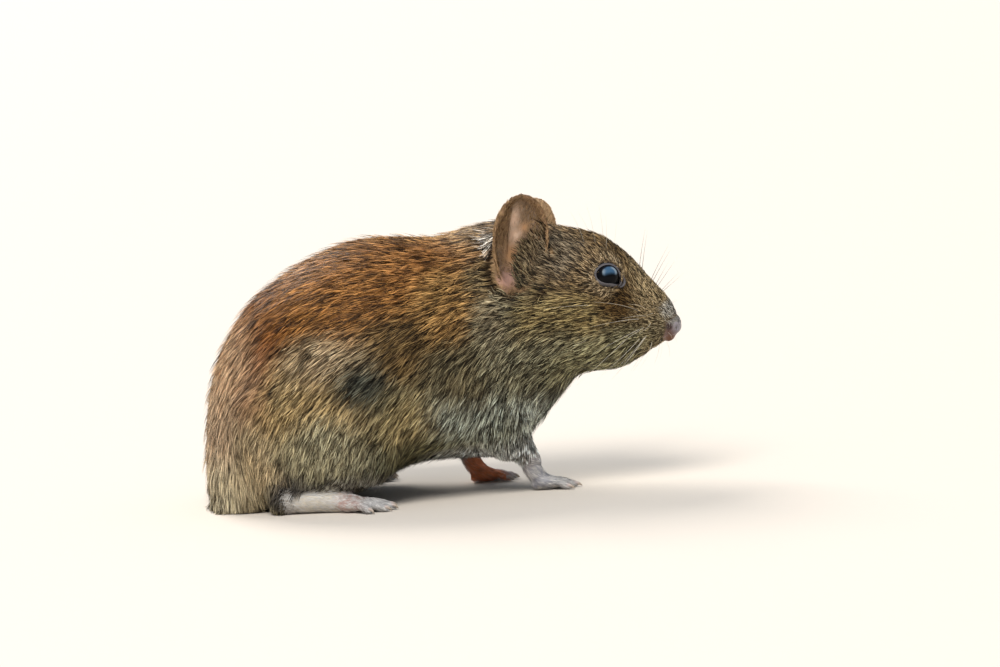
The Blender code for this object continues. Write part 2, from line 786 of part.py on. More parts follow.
def finish(obj, name, look):
    tidied(obj)
    obj.name = name
    obj.data.name = name
    obj.data.materials.clear()
    obj.data.materials.append(material(look))
    return obj


def tail(floor):
    """The tail in three lengths, curled along the left side."""
    ends = (0.07, *TAIL_CUTS, 1.0)
    names = ("tail_base", "tail_middle", "tail_tip")
    made = []
    for name, start, end in zip(names, ends[:-1], ends[1:], strict=True):
        made.append(finish(cut(tail_length(name, start, end), [floor]), name, "tail"))
    return made


def feet(floor):
    made = []
    for side, word in SIDE_NAMES.items():
        for name, pieces, triangles in (
            ("forepaw", forepaw_pieces(side), 560),
            ("hindfoot", hindfoot_pieces(side), 600),
        ):
            foot = fused(name, pieces, PAW_VOXEL, PAW_SMOOTHING, triangles)
            made.append(finish(cut(foot, [floor]), f"{name}_{word}", "skin"))
    return made


def let_in_cutters():
    """What the body makes room for: feet, tail, ears, nose and eyes, each with a gap round it."""
    cutters = [fused("nose_room", nose_pieces(GAP), 0.3, 3, 240)]
    cutters.append(tail_length("tail_room", 0.0, TAIL_CUTS[0], GAP))
    for side in SIDE_NAMES:
        cutters.append(ear_socket(side))
        cutters += [eye(side, GAP), eye_opening(side)]
        cutters.append(fused("forepaw_room", forepaw_pieces(side, GAP), 0.4, 2, 220))
        cutters.append(fused("hindfoot_room", hindfoot_pieces(side, GAP), 0.4, 2, 240))
    return cutters


def body_parts(floor):
    """The fused body with everything let in, parted into head, neck, torso and upper legs."""
    body = whole_body()
    cutters = let_in_cutters()
    cut(body, [floor, *cutters])
    remove(cutters)

    regions, rooms, made = [], [], []
    for side, word in SIDE_NAMES.items():
        hind, hind_room = hindleg_region(side, 0.0), hindleg_region(side, GAP)
        fore, fore_room = foreleg_region(side, 0.0), foreleg_region(side, GAP)
        made.append(finish(within(copy_of(body, "part"), hind), f"hindleg_{word}", "coat"))
        made.append(finish(within(copy_of(body, "part"), fore), f"foreleg_{word}", "coat"))
        regions += [hind, fore]
        rooms += [hind_room, fore_room]

    head_plane = plane_between((10.4, 41.3), (23.2, 15.4), 1.0)
    neck_plane = plane_between((4.2, 39.8), (20.4, 11.8), 0.35)
    shaped(body, rooms, "DIFFERENCE")
    ahead_of_head = beyond_plane("ahead", *head_plane, GAP / 2)
    behind_head = beyond_plane("behind", *head_plane, -GAP / 2)
    ahead_of_neck = beyond_plane("ahead", *neck_plane, GAP / 2)
    behind_neck = beyond_plane("behind", *neck_plane, -GAP / 2)
    head = within(copy_of(body, "part"), ahead_of_head)
    neck = within(cut(copy_of(body, "part"), [behind_head]), ahead_of_neck)
    torso = cut(body, [behind_neck])
    remove([*regions, *rooms, ahead_of_head, behind_head, ahead_of_neck, behind_neck])
    for obj, name in ((head, "head"), (neck, "neck"), (torso, "torso")):
        made.append(finish(obj, name, "coat"))
    return made


def to_footprint_frame(parts):
    """Moves the parts so that the origin is the middle of their footprint, and scales them to metres."""
    corners = np.concatenate([np.array([v.co for v in part.data.vertices]) for part in parts])
    low, high = corners.min(axis=0), corners.max(axis=0)
    centre = Vector(((low[0] + high[0]) / 2, (low[1] + high[1]) / 2, 0.0))
    for part in parts:
        part.data.transform(Matrix.Scale(MM, 4) @ Matrix.Translation(-centre))
        part.data.shade_smooth()
        part.data.set_sharp_from_angle(angle=math.radians(50))


def main():
    clear_scene()
    floor = floor_block()
    parts = body_parts(floor)
    parts += feet(floor) + tail(floor)
    parts.append(finish(nose(), "nose", "nose"))
    for side, word in SIDE_NAMES.items():
        parts.append(finish(ear(side), f"ear_{word}", "coat"))
        parts.append(finish(eye(side), f"eye_{word}", "eye"))
    remove([floor])
    to_footprint_frame(parts)


main()
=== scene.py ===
"""A life-size bank vole museum model: skin, coat, eyes, claws and whiskers over its solid frame."""

import math
from typing import NamedTuple

import bmesh
import bpy
import numpy as np
from bpy.props import FloatProperty, FloatVectorProperty, IntProperty, PointerProperty
from bpy.types import Operator, Panel, PropertyGroup
from mathutils import Matrix, Vector
from mathutils.bvhtree import BVHTree
from mathutils.kdtree import KDTree


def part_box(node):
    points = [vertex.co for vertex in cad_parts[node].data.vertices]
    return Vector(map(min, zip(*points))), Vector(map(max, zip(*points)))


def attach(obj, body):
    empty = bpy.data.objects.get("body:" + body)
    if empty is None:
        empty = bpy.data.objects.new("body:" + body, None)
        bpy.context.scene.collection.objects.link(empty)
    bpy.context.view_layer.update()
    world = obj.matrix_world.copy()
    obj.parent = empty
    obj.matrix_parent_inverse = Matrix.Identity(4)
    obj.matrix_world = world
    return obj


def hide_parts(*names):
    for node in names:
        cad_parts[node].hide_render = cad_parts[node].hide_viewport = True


bl_info = {
    "name": "Bank Vole Model",
    "version": (1, 0, 0),
    "blender": (4, 5, 0),
    "location": "3D View > Sidebar > Vole",
    "description": "Dresses the solid bank vole in skin, coat, eyes, claws and whiskers",
    "category": "Object",
}

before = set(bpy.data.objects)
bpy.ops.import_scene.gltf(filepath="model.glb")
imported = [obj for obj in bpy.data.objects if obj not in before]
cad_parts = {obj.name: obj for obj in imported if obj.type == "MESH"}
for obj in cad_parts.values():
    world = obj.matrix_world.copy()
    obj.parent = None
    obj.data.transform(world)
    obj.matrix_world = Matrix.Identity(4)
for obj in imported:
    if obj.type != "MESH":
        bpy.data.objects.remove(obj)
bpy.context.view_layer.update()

MM = 0.001
RIGHT, LEFT = -1, 1
SIDE_NAMES = {RIGHT: "right", LEFT: "left"}
EYES = ("eye_left", "eye_right")
EARS = ("ear_left", "ear_right")
PAWS = ("forepaw_left", "forepaw_right", "hindfoot_left", "hindfoot_right")
TAIL = ("tail_base", "tail_middle", "tail_tip")
FLESH = tuple(name for name in sorted(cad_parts) if name not in EYES)

# Places of the head and feet, in millimetres, with the head straight ahead and for the left side.
HEAD_PIVOT = Vector((12.0, 0.0, 29.0))
HEAD_YAW = math.radians(-8.0)
HEAD_ROLL = math.radians(-6.0)
EYE_CENTRE = (30.4, 6.2, 31.8)
EYE_LOOKS = (0.40, 0.88, 0.22)
EYE_RADIUS = 2.15
EYE_BULGE = 1.06
EYE_OPENING = (1.80, 1.46)
EYE_CORNER = 0.34
EYE_CORNER_ANGLE = math.radians(-39.0)
LID_GRAIN = (0.07, 0.065, 0.07)
LID_WIDTH = 0.6
LID_FOOT = 0.95
LID_THICKNESS = 0.08
LID_STEPS = 64
LID_SIDES = 10
EAR_CENTRES = {RIGHT: (18.0, 10.3, 37.7), LEFT: (17.0, 10.3, 36.9)}
EAR_UP = (0.12, 0.19, 0.974)
EAR_LOOKS = (0.42, 0.90, 0.02)
EAR_HALF_LENGTH = 7.5
EAR_HALF_WIDTH = 4.5
TAIL_ROUTE = (
    (-29.5, 0.5, 4.2),
    (-32.4, 4.5, 2.9),
    (-33.4, 9.5, 1.9),
    (-32.4, 15.0, 1.45),
    (-29.0, 20.3, 1.3),
    (-23.6, 24.2, 1.15),
    (-17.2, 25.8, 1.0),
    (-11.4, 24.8, 0.8),
    (-8.0, 22.8, 0.6),
)
TAIL_RING = 0.5
EAR_PLACES = ("bowl", "blush", "flush", "lobe", "fold", "front")

# The skin: its fineness, how far the cuts close, and the depth of the bare parts in millimetres.
SKIN_VOXEL = 0.21 * MM
CLOSING = 0.2 * MM
SAME_PLACE = 0.001 * MM
SKIN_KEEPS = 0.34
THINNING_LEVELS = 8
UNWRAP_ANGLE = math.radians(66)
BARE_DEPTHS = {"lid": 0.1, "ear": 0.1, "foot": 0.05, "tail": 0.12, "nose": 0.0}
MOUTH = (36.0, 20.8)

# Soft borders, in millimetres: a share passes from 1 to 0 between the two values.
EAR_BORDER = (0.5, 1.3)
FOOT_BORDER = (0.4, 1.4)
TAIL_BORDER = (0.4, 1.2)
MOUTH_BORDER = (3.0, 5.5)
LID_BORDER = (2.3, 2.6)
# The left forepaw's red skin is partly its own flesh colour and partly painted glow of light through the
# thin skin; these two bound where it shows.
GLOW_PAW_BORDER = (0.4, 2.0)
GLOW_PAW_FRONT = (10.0, 12.0)
HEEL_FRONT = (-24.5, -21.5)
RUMP_FRONT = (-29.0, -24.0)
RUMP_TOP = (5.0, 11.0)
BELLY_TOP = (6.0, 10.0)
BELLY_FRONT = (17.0, 20.0)
BELLY_REAR = (-13.0, -9.0)

# The slanting line that the head's turn starts from, and how far ahead of it the turn is whole.
TURN_SLANT = 0.27
TURN_TOP = 41.0
TURN_REACH = (0.0, 17.0)

# The blend between the combing's places, and how many points are blended at once.
COMB_BLOCK = 40000
COMB_SOFTNESS = 3.0
COMB_POWER = 2.4

# The bare wedge before the eye's front corner.
CORNER_START = 1.6
CORNER_LENGTH = 2.5
CORNER_WIDTH = 0.85
CORNER_REACH = 4.5

# The coat's map with the size of a hair's patch on it, the places along a hair or a whisker that hold
# its points, and how far the markings' edges wander, in millimetres.
COAT_MAP = "OFBake"
HAIR_CELL = 0.003
PIECE_LIMIT = 200000
LONG_STEPS = (0.0, 0.35, 0.7, 1.0)
SHORT_STEPS = (0.0, 0.5, 1.0)
WHISKER_STEPS = 12
WHISKER_SIDES = 5
FLOOR_CLEARANCE = 0.08 * MM
WANDER = 2.2
DOWN = np.array((0.0, 0.0, -1.0))

# How the hairs vary and bend: swings and rolls in radians, the rest as shares of a hair's own size.
LOCK_SWING = 0.14
HAIR_SWING = 0.1
HAIR_ROLL = 0.45
SHORTEST = 0.84
LENGTH_SPREAD = 0.46
THINNEST = 0.7
WIDTH_SPREAD = 0.6
LOWEST_RISE = 0.55
RISE_SPREAD = 0.5
STRAY_RISE = 0.5
STRAY_SHARE = 0.05
ROOT_DEPTH = 0.05 * MM
BEND_PLACE = 0.38
BEND_RISE = 0.8

# The head's coat: the shares of the head's turn that it begins between, its finer locks, and its hair,
# which is denser where it is shorter than the dense length.
HEAD_BORDER = (0.86, 0.99)
HEAD_LOCKS = 0.75
HEAD_LENGTHENING = 0.25
DENSE_LENGTH = 2.4
DENSE_POWER = 1.1

# Short hairs are slim: the least share of the full width, and the lengths between which it grows.
SLIMMEST = 0.55
SLIM_LENGTHS = (0.7, 2.4)

# The parting round the eyes, the tuft before the ear's opening, and the hair that hangs free.
EYE_PARTING = 1.3
EYE_PARTING_START = 2.4
EYE_SHORTENING = 0.5
TUFT_LENGTH = 1.9
TUFT_DEPTH = 0.42
BELLY_HANGS = 0.4

# The short hair: its density on each part, its ways on the feet and the nose, and its loose locks.
SHORT_DENSITY = {"ear": 1.2, "foot": 0.9, "tail": 0.5, "nose": 2.5}
FOOT_HAIR_WAY = (1.0, 0.2, -0.25)
NOSE_HAIR_WAY = (-0.8, 0.3, 0.7)
SHORT_LOCK_HAIRS = 5
SHORT_LOCK_PULL = 0.25
SHORT_LOOSENESS = 1.3

# The contrast between hairs: how calm the rump is, what part of its tone a hair has for itself, and how
# lively the tones are, with what the head adds to both.
RUMP_CALM = 0.5
OWN_TONE = 0.4
HEAD_OWN_TONE = 0.2
LIVELY = 1.05
HEAD_LIVELY = 0.85

# The coat's slate under-colour and its pale tips, partly the hair's own and partly painted sheen, as
# factors of the marking's colour.
UNDER_COLOUR = (0.16, 0.135, 0.12)
UNDER_LEAST = (0.003, 0.003, 0.003)
PALE_SHEEN_TIPS = (1.45, 1.55, 1.7)

# The camera's place and field, in millimetres, the lamps' places, sizes and colours, and the air.
CAMERA_LIFT = math.radians(7.0)
CAMERA_ROLL = math.radians(4.2)
CAMERA_AIM = (10.85, 24.49)
CAMERA_DISTANCE = 1500.0
CAMERA_WIDTH = 155.0
SENSOR_WIDTH = 36.0
KEY_LAMP = ((-0.6, -2.0, 2.9), 1.9, (1.0, 0.955, 0.89))
BACK_LAMP = ((-1.2, 2.2, 2.0), 1.6, (1.0, 0.96, 0.90))
AIR_STOPS = ((0.08, "air_low"), (0.6, "air_high"))

# The coat's pieces: the middle of each one's area in the plain frame, and its side, or 0 for both.
BODY_AREAS = (
    ("coat_rump", (-33, 4, 12), 0),
    ("coat_loin", (-20, 5, 34), 0),
    ("coat_back", (0, 5, 38), 0),
    ("coat_flank_right", (-4, 17, 22), RIGHT),
    ("coat_flank_left", (-4, 17, 22), LEFT),
    ("coat_thigh_right", (-19, 16, 14), RIGHT),
    ("coat_thigh_left", (-19, 16, 14), LEFT),
    ("coat_shoulder_right", (11, 13, 22), RIGHT),
    ("coat_shoulder_left", (11, 13, 22), LEFT),
    ("coat_belly", (-3, 2, 5), 0),
    ("coat_breast", (18, 2, 14), 0),
)
HEAD_AREAS = (
    ("coat_crown", (21, 3, 38), 0),
    ("coat_cheek_right", (25, 8, 27), RIGHT),
    ("coat_cheek_left", (25, 8, 27), LEFT),
    ("coat_muzzle", (35, 2, 26), 0),
    ("coat_throat", (26, 2, 18), 0),
)

# The short-haired parts, with the piece that each one's hair makes and its material slot.
SHORT_HAIRED = {
    "ear": ("coat_ears", "ear_skin"),
    "foot": ("coat_feet", "foot_skin"),
    "tail": ("coat_tail", "tail_coat"),
    "nose": ("coat_nose", "nose_skin"),
}


class Comb(NamedTuple):
    """How the coat lies at a place of the plain frame: its way, its length and depth in millimetres,
    and the side it holds for, or 0 for both."""

    place: tuple
    way: tuple
    length: float
    depth: float
    side: int = 0


COMBING = (
    # The back, from the nape to the rump.
    Comb((12, 0, 41.5), (-1, 0, -0.02), 3.4, 1.0),
    Comb((8, 9, 37), (-1, 0.15, -0.35), 3.6, 1.1),
    Comb((-3, 0, 40.5), (-1, 0, -0.05), 4.0, 1.3),
    Comb((-5, 10, 36), (-1, 0.1, -0.25), 4.0, 1.3),
    Comb((-18, 0, 36.5), (-1, 0, -0.35), 4.2, 1.3),
    Comb((-17, 11, 31), (-0.9, 0.1, -0.5), 4.2, 1.3),
    Comb((-27, 0, 29), (-0.75, 0, -0.7), 4.2, 1.4),
    Comb((-27, 9, 25), (-0.6, 0.1, -0.8), 4.2, 1.4),
    Comb((-33, 0, 17), (-0.2, 0, -1), 4.2, 1.4),
    Comb((-31, 8, 14), (-0.2, 0.05, -1), 4.4, 1.4),
    Comb((-34, 0, 4), (-0.15, 0, -1), 5.0, 1.6),
    Comb((-31, 9, 4), (-0.2, 0.1, -1), 5.0, 1.5),
    # The flank, the thigh and the belly.
    Comb((7, 14, 28), (-0.85, 0, -0.55), 3.8, 1.2),
    Comb((2, 13, 33), (-0.95, 0, -0.35), 4.0, 1.2),
    Comb((-8, 16, 29), (-0.9, 0, -0.42), 4.2, 1.3),
    Comb((-2, 17, 22), (-0.75, 0, -0.65), 4.2, 1.3),
    Comb((-5, 16.5, 14), (-0.6, 0, -0.8), 4.4, 1.3),
    Comb((-16, 17, 22), (-0.7, 0, -0.72), 4.4, 1.3),
    Comb((-21, 15.5, 15), (-0.45, 0, -0.9), 4.2, 1.3),
    Comb((-18, 14.5, 8), (-0.25, 0.05, -0.97), 3.6, 1.0),
    Comb((-9, 14, 9), (-0.4, 0, -0.9), 3.8, 1.1),
    Comb((-16, 15, 4.4), (-0.6, 0.1, -0.8), 1.5, 0.5),
    Comb((-10, 13, 4.6), (-0.6, 0, -0.8), 1.6, 0.5),
    Comb((-2, 12, 7.5), (-0.75, -0.2, -0.6), 3.6, 1.1),
    Comb((0, 0, 5), (-1, 0, -0.05), 3.2, 1.0),
    Comb((-14, 0, 2), (-1, 0, 0), 2.8, 0.9),
    # The breast and the forelegs. The left foreleg stands further back.
    Comb((17, 0, 13), (-0.45, 0, -0.9), 3.4, 1.1),
    Comb((15, 8, 18), (-0.55, 0.05, -0.82), 3.6, 1.1),
    Comb((9, 14, 17), (-0.5, 0.05, -0.87), 3.8, 1.2),
    Comb((13, 10, 12), (-0.15, 0.05, -1), 2.8, 0.8, RIGHT),
    Comb((15.4, 7.6, 6.8), (0.05, 0, -1), 1.6, 0.35, RIGHT),
    Comb((6, 8, 6.8), (0.05, 0, -1), 1.6, 0.35, LEFT),
    # The neck and the top of the head.
    Comb((24, 0, 16.5), (-0.95, 0, -0.25), 3.0, 0.9),
    Comb((12, 13, 30), (-0.95, 0.05, -0.3), 3.2, 1.0),
    Comb((16, 11, 22), (-0.75, 0.05, -0.65), 3.4, 1.1),
    Comb((18, 0, 41.5), (-1, 0, 0.02), 2.6, 0.85),
    Comb((19, 7, 38.5), (-1, 0.1, 0.3), 2.4, 0.75),
    Comb((24, 7, 37), (-0.8, 0.1, 0.5), 2.2, 0.65),
    Comb((29, 0, 38.5), (-0.8, 0, 0.5), 1.8, 0.5),
    Comb((29.5, 5, 36.5), (-0.5, 0.05, 0.85), 1.7, 0.45),
    Comb((34.5, 0, 33.5), (-0.75, 0, 0.65), 1.3, 0.35),
    Comb((34.5, 3.2, 31), (-0.45, 0.1, 0.85), 1.2, 0.32),
    Comb((38, 0, 29), (-0.6, 0, 0.8), 0.75, 0.2),
    # The face, the cheek and the chin.
    Comb((37, 3, 26), (-0.75, 0.4, 0.5), 0.85, 0.22),
    Comb((35.5, 4, 24), (-0.9, 0.4, 0.1), 1.0, 0.28),
    Comb((33.5, 5.3, 31), (-0.5, 0.2, 0.8), 1.1, 0.28),
    Comb((31, 7.5, 28), (-0.95, 0.3, -0.05), 1.5, 0.38),
    Comb((26, 8.5, 33), (-0.75, 0.2, 0.55), 1.9, 0.55),
    Comb((21, 9, 34), (-0.8, 0.2, 0.55), 2.3, 0.75),
    Comb((18, 11, 30), (-0.95, 0.1, -0.2), 2.8, 0.9),
    Comb((26, 9.5, 26), (-1, 0.15, -0.1), 2.2, 0.65),
    Comb((23, 9, 21), (-0.85, 0.1, -0.45), 2.8, 0.9),
    Comb((29, 6.5, 20), (-0.85, 0.1, -0.5), 2.2, 0.55),
    Comb((34.5, 0, 19), (-0.9, 0, -0.4), 1.4, 0.35),
    Comb((33, 3.5, 19.8), (-0.75, 0.1, -0.65), 1.6, 0.38),
    Comb((37, 2.5, 22.5), (-0.8, 0.45, -0.45), 0.8, 0.2),
)


class Spot(NamedTuple):
    """A soft spot inside an ear: its middle and reach, upwards and ahead, as shares of the ear's half
    sizes."""

    middle: tuple
    reach: tuple


# The pale and red spots are the ear's own pink and orange-red skin, brightened as painted glow of light
# through the thin ear.
PALE_TOP = Spot((0.42, -0.04), (0.3, 0.2))
PALE_FOOT = Spot((0.08, 0.05), (0.2, 0.24))
RED_FRONT = Spot((0.24, 0.33), (0.14, 0.17))
RED_FOOT = Spot((-0.3, -0.05), (0.3, 0.42))
PURPLE_LOBE = Spot((-0.76, -0.24), (0.18, 0.3))
# Painted shade at the front end of the fold.
FOLD_SHADE_END = Spot((-0.14, 0.51), (0.14, 0.16))
FRONT_LOBE = Spot((-0.5, 0.25), (0.16, 0.22))
CUP_REACH = (4.0, 6.0)


class Patch(NamedTuple):
    """A patch of the markings: its colour's name, its middle and reach in the plain frame, and how
    soft its edge is."""

    colour: str
    middle: tuple
    reach: tuple
    soft: float


MARKINGS = (
    Patch("saddle", (-6, 0, 42), (28, 9, 6), 1.2),
    Patch("chestnut", (-20, 8, 31), (14, 13, 9), 1.2),
    Patch("brick", (-4, 9, 36), (18, 10, 6), 0.8),
    Patch("rust", (-22.5, 14.5, 23), (5.5, 7, 7), 1.2),
    Patch("ochre", (-3, 15, 31), (16, 8, 4.5), 0.9),
    Patch("drab", (1.5, 16, 25.5), (9, 7, 5), 0.9),
    Patch("straw", (-15, 17, 19), (9, 7, 8), 0.9),
    Patch("silver", (-12.8, 16.5, 25.2), (6, 6, 2.9), 1.5),
    Patch("slate", (-6.8, 18.5, 21.3), (4.2, 7, 3.4), 1.3),
    Patch("tan", (-29, 8, 24), (6, 9, 9), 1.4),
    Patch("pearl", (-34, 4, 13), (7, 14, 9), 1.4),
    Patch("fawn", (-30, 8, 4), (9, 12, 7), 1.2),
    Patch("shade", (-20.5, 16, 6), (4, 6, 5), 0.9),
    Patch("cream", (-25.5, 15.7, 11), (4.5, 6, 5), 0.9),
    Patch("willow", (-14, 18, 12), (7, 7, 5), 0.9),
    Patch("dusk", (-9, 14, 4), (8, 6, 4), 0.9),
    Patch("wheat", (1, 16, 15), (7, 6, 5), 0.9),
    Patch("belly", (0, 0, 3), (34, 14, 5), 0.7),
    Patch("umbra", (1.5, 12, 9.5), (8, 5, 3.5), 0.9),
    Patch("ash", (8.5, 14, 16), (6, 7, 6), 0.9),
    Patch("down", (19, 3, 14), (7, 8, 7), 0.9),
    Patch("olive", (9, 15, 21.5), (7, 7, 4.5), 0.9),
    Patch("honey", (8, 12, 31), (6, 7, 5), 0.9),
    Patch("fallow", (17, 10, 22), (6, 6, 5), 0.9),
    Patch("ink", (14.5, 12, 27.5), (3.2, 6, 3.2), 1.3),
    Patch("smoke", (12, 8, 6.5), (9, 5, 4), 0.9),
    Patch("moss", (29, 0, 32), (13, 14, 12), 0.6),
    Patch("umber", (20, 0, 42), (11, 11, 5), 0.8),
    Patch("grizzle", (24, 7.5, 35), (4.5, 6, 4), 0.9),
    Patch("soot", (12.6, 12, 33.5), (2.4, 4, 3.4), 0.9),
    Patch("chalk", (14.2, 6.8, 38.9), (1.2, 2.4, 1.9), 0.9),
    Patch("amber", (25, 9, 26), (7, 6, 3.4), 0.9),
    Patch("sand", (23, 6, 20), (8, 8, 4.8), 0.9),
    Patch("milk", (30, 5, 20), (8, 6, 4), 0.8),
    Patch("russet", (33, 7, 27.2), (2.8, 3.4, 2.2), 0.9),
    Patch("dust", (36.8, 0, 27), (4.6, 5, 7), 0.8),
    Patch("frost", (40.2, 0, 25.5), (1.7, 4, 1.6), 0.9),
    Patch("buff", EYE_CENTRE, (4.0, 4.2, 3.8), 0.35),
    Patch("halo", EYE_CENTRE, (3.1, 3.5, 3.0), 0.3),
)
NOSE_MARKINGS = (
    Patch("nose_pad", (40.9, 0, 24.1), (1.6, 4, 2.1), 0.9),
    Patch("nose_tip", (39.2, 0, 21.2), (1.5, 3, 0.9), 0.8),
    Patch("nostril", (39.3, 2.6, 23.5), (0.5, 3, 0.5), 0.9),
)
FOOT_MARKINGS = (
    # Red skin of the left forepaw: partly flesh colour, partly painted glow of light through it.
    Patch("warm_foot", (8.8, 4.6, 2.2), (3.8, 3.2, 5), 0.7),
    Patch("foot_heel", (-24.5, 15.3, 3.5), (5, 6, 6), 1.2),
    Patch("foot_cream", (-17.2, 16, 2.5), (4.2, 5, 3.6), 0.7),
    Patch("foot_blush", (-12.4, 18, 1.8), (2.1, 5, 2.6), 0.9),
    Patch("foot_toe", (-6, 18.5, 1), (5.0, 7, 3), 0.7),
    Patch("foot_frost", (19.5, 6, 2), (5.5, 5, 4), 0.9),
    Patch("foot_toe", (22.5, 5, 1), (3, 4, 2), 1.0),
)


def measure(name, description, millimetres):
    """A length that the user may set."""
    return FloatProperty(
        name=name, description=description, default=millimetres * MM, min=0.0, unit="LENGTH", precision=5
    )


def tint(name, description, colour):
    """A colour that the user may set."""
    return FloatVectorProperty(
        name=name, description=description, default=colour, size=3, min=0.0, max=1.0, subtype="COLOR"
    )


def amount(name, description, count):
    """A number of like things that the user may set."""
    return IntProperty(name=name, description=description, default=count, min=0)


class VoleCoat(PropertyGroup):
    """Sizes and numbers of the coat's hairs."""

    body_hairs: amount("Body hairs", "Hairs on the trunk, the legs and the neck", 180000)
    head_hairs: amount("Head hairs", "Hairs on the head", 74000)
    short_hairs: amount("Short hairs", "Hairs on the ears, feet and tail", 52000)
    body_width: measure("Body hair width", "Width of a hair of the trunk at its widest", 0.122)
    head_width: measure("Head hair width", "Width of a hair of the head at its widest", 0.118)
    short_width: measure("Short hair width", "Width of a hair of the ears, feet and tail", 0.075)
    ear_length: measure("Ear hair length", "Length of the hairs on the ears", 0.85)
    foot_length: measure("Foot hair length", "Length of the hairs on the feet", 0.95)
    tail_length: measure("Tail hair length", "Length of the bristles on the tail", 1.1)
    nose_length: measure("Nose hair length", "Length of the hairs on the top of the nose", 0.5)
    lock_spacing: measure("Lock spacing", "Distance between the middles of two locks of the trunk", 0.37)
    lock_pull: FloatProperty(
        name="Lock pull",
        description="How far the tips of a lock's hairs draw together",
        default=0.78,
        min=0.0,
        max=1.0,
        subtype="FACTOR",
    )
    seed: IntProperty(name="Seed", description="Start of the coat's random numbers", default=11, min=0)


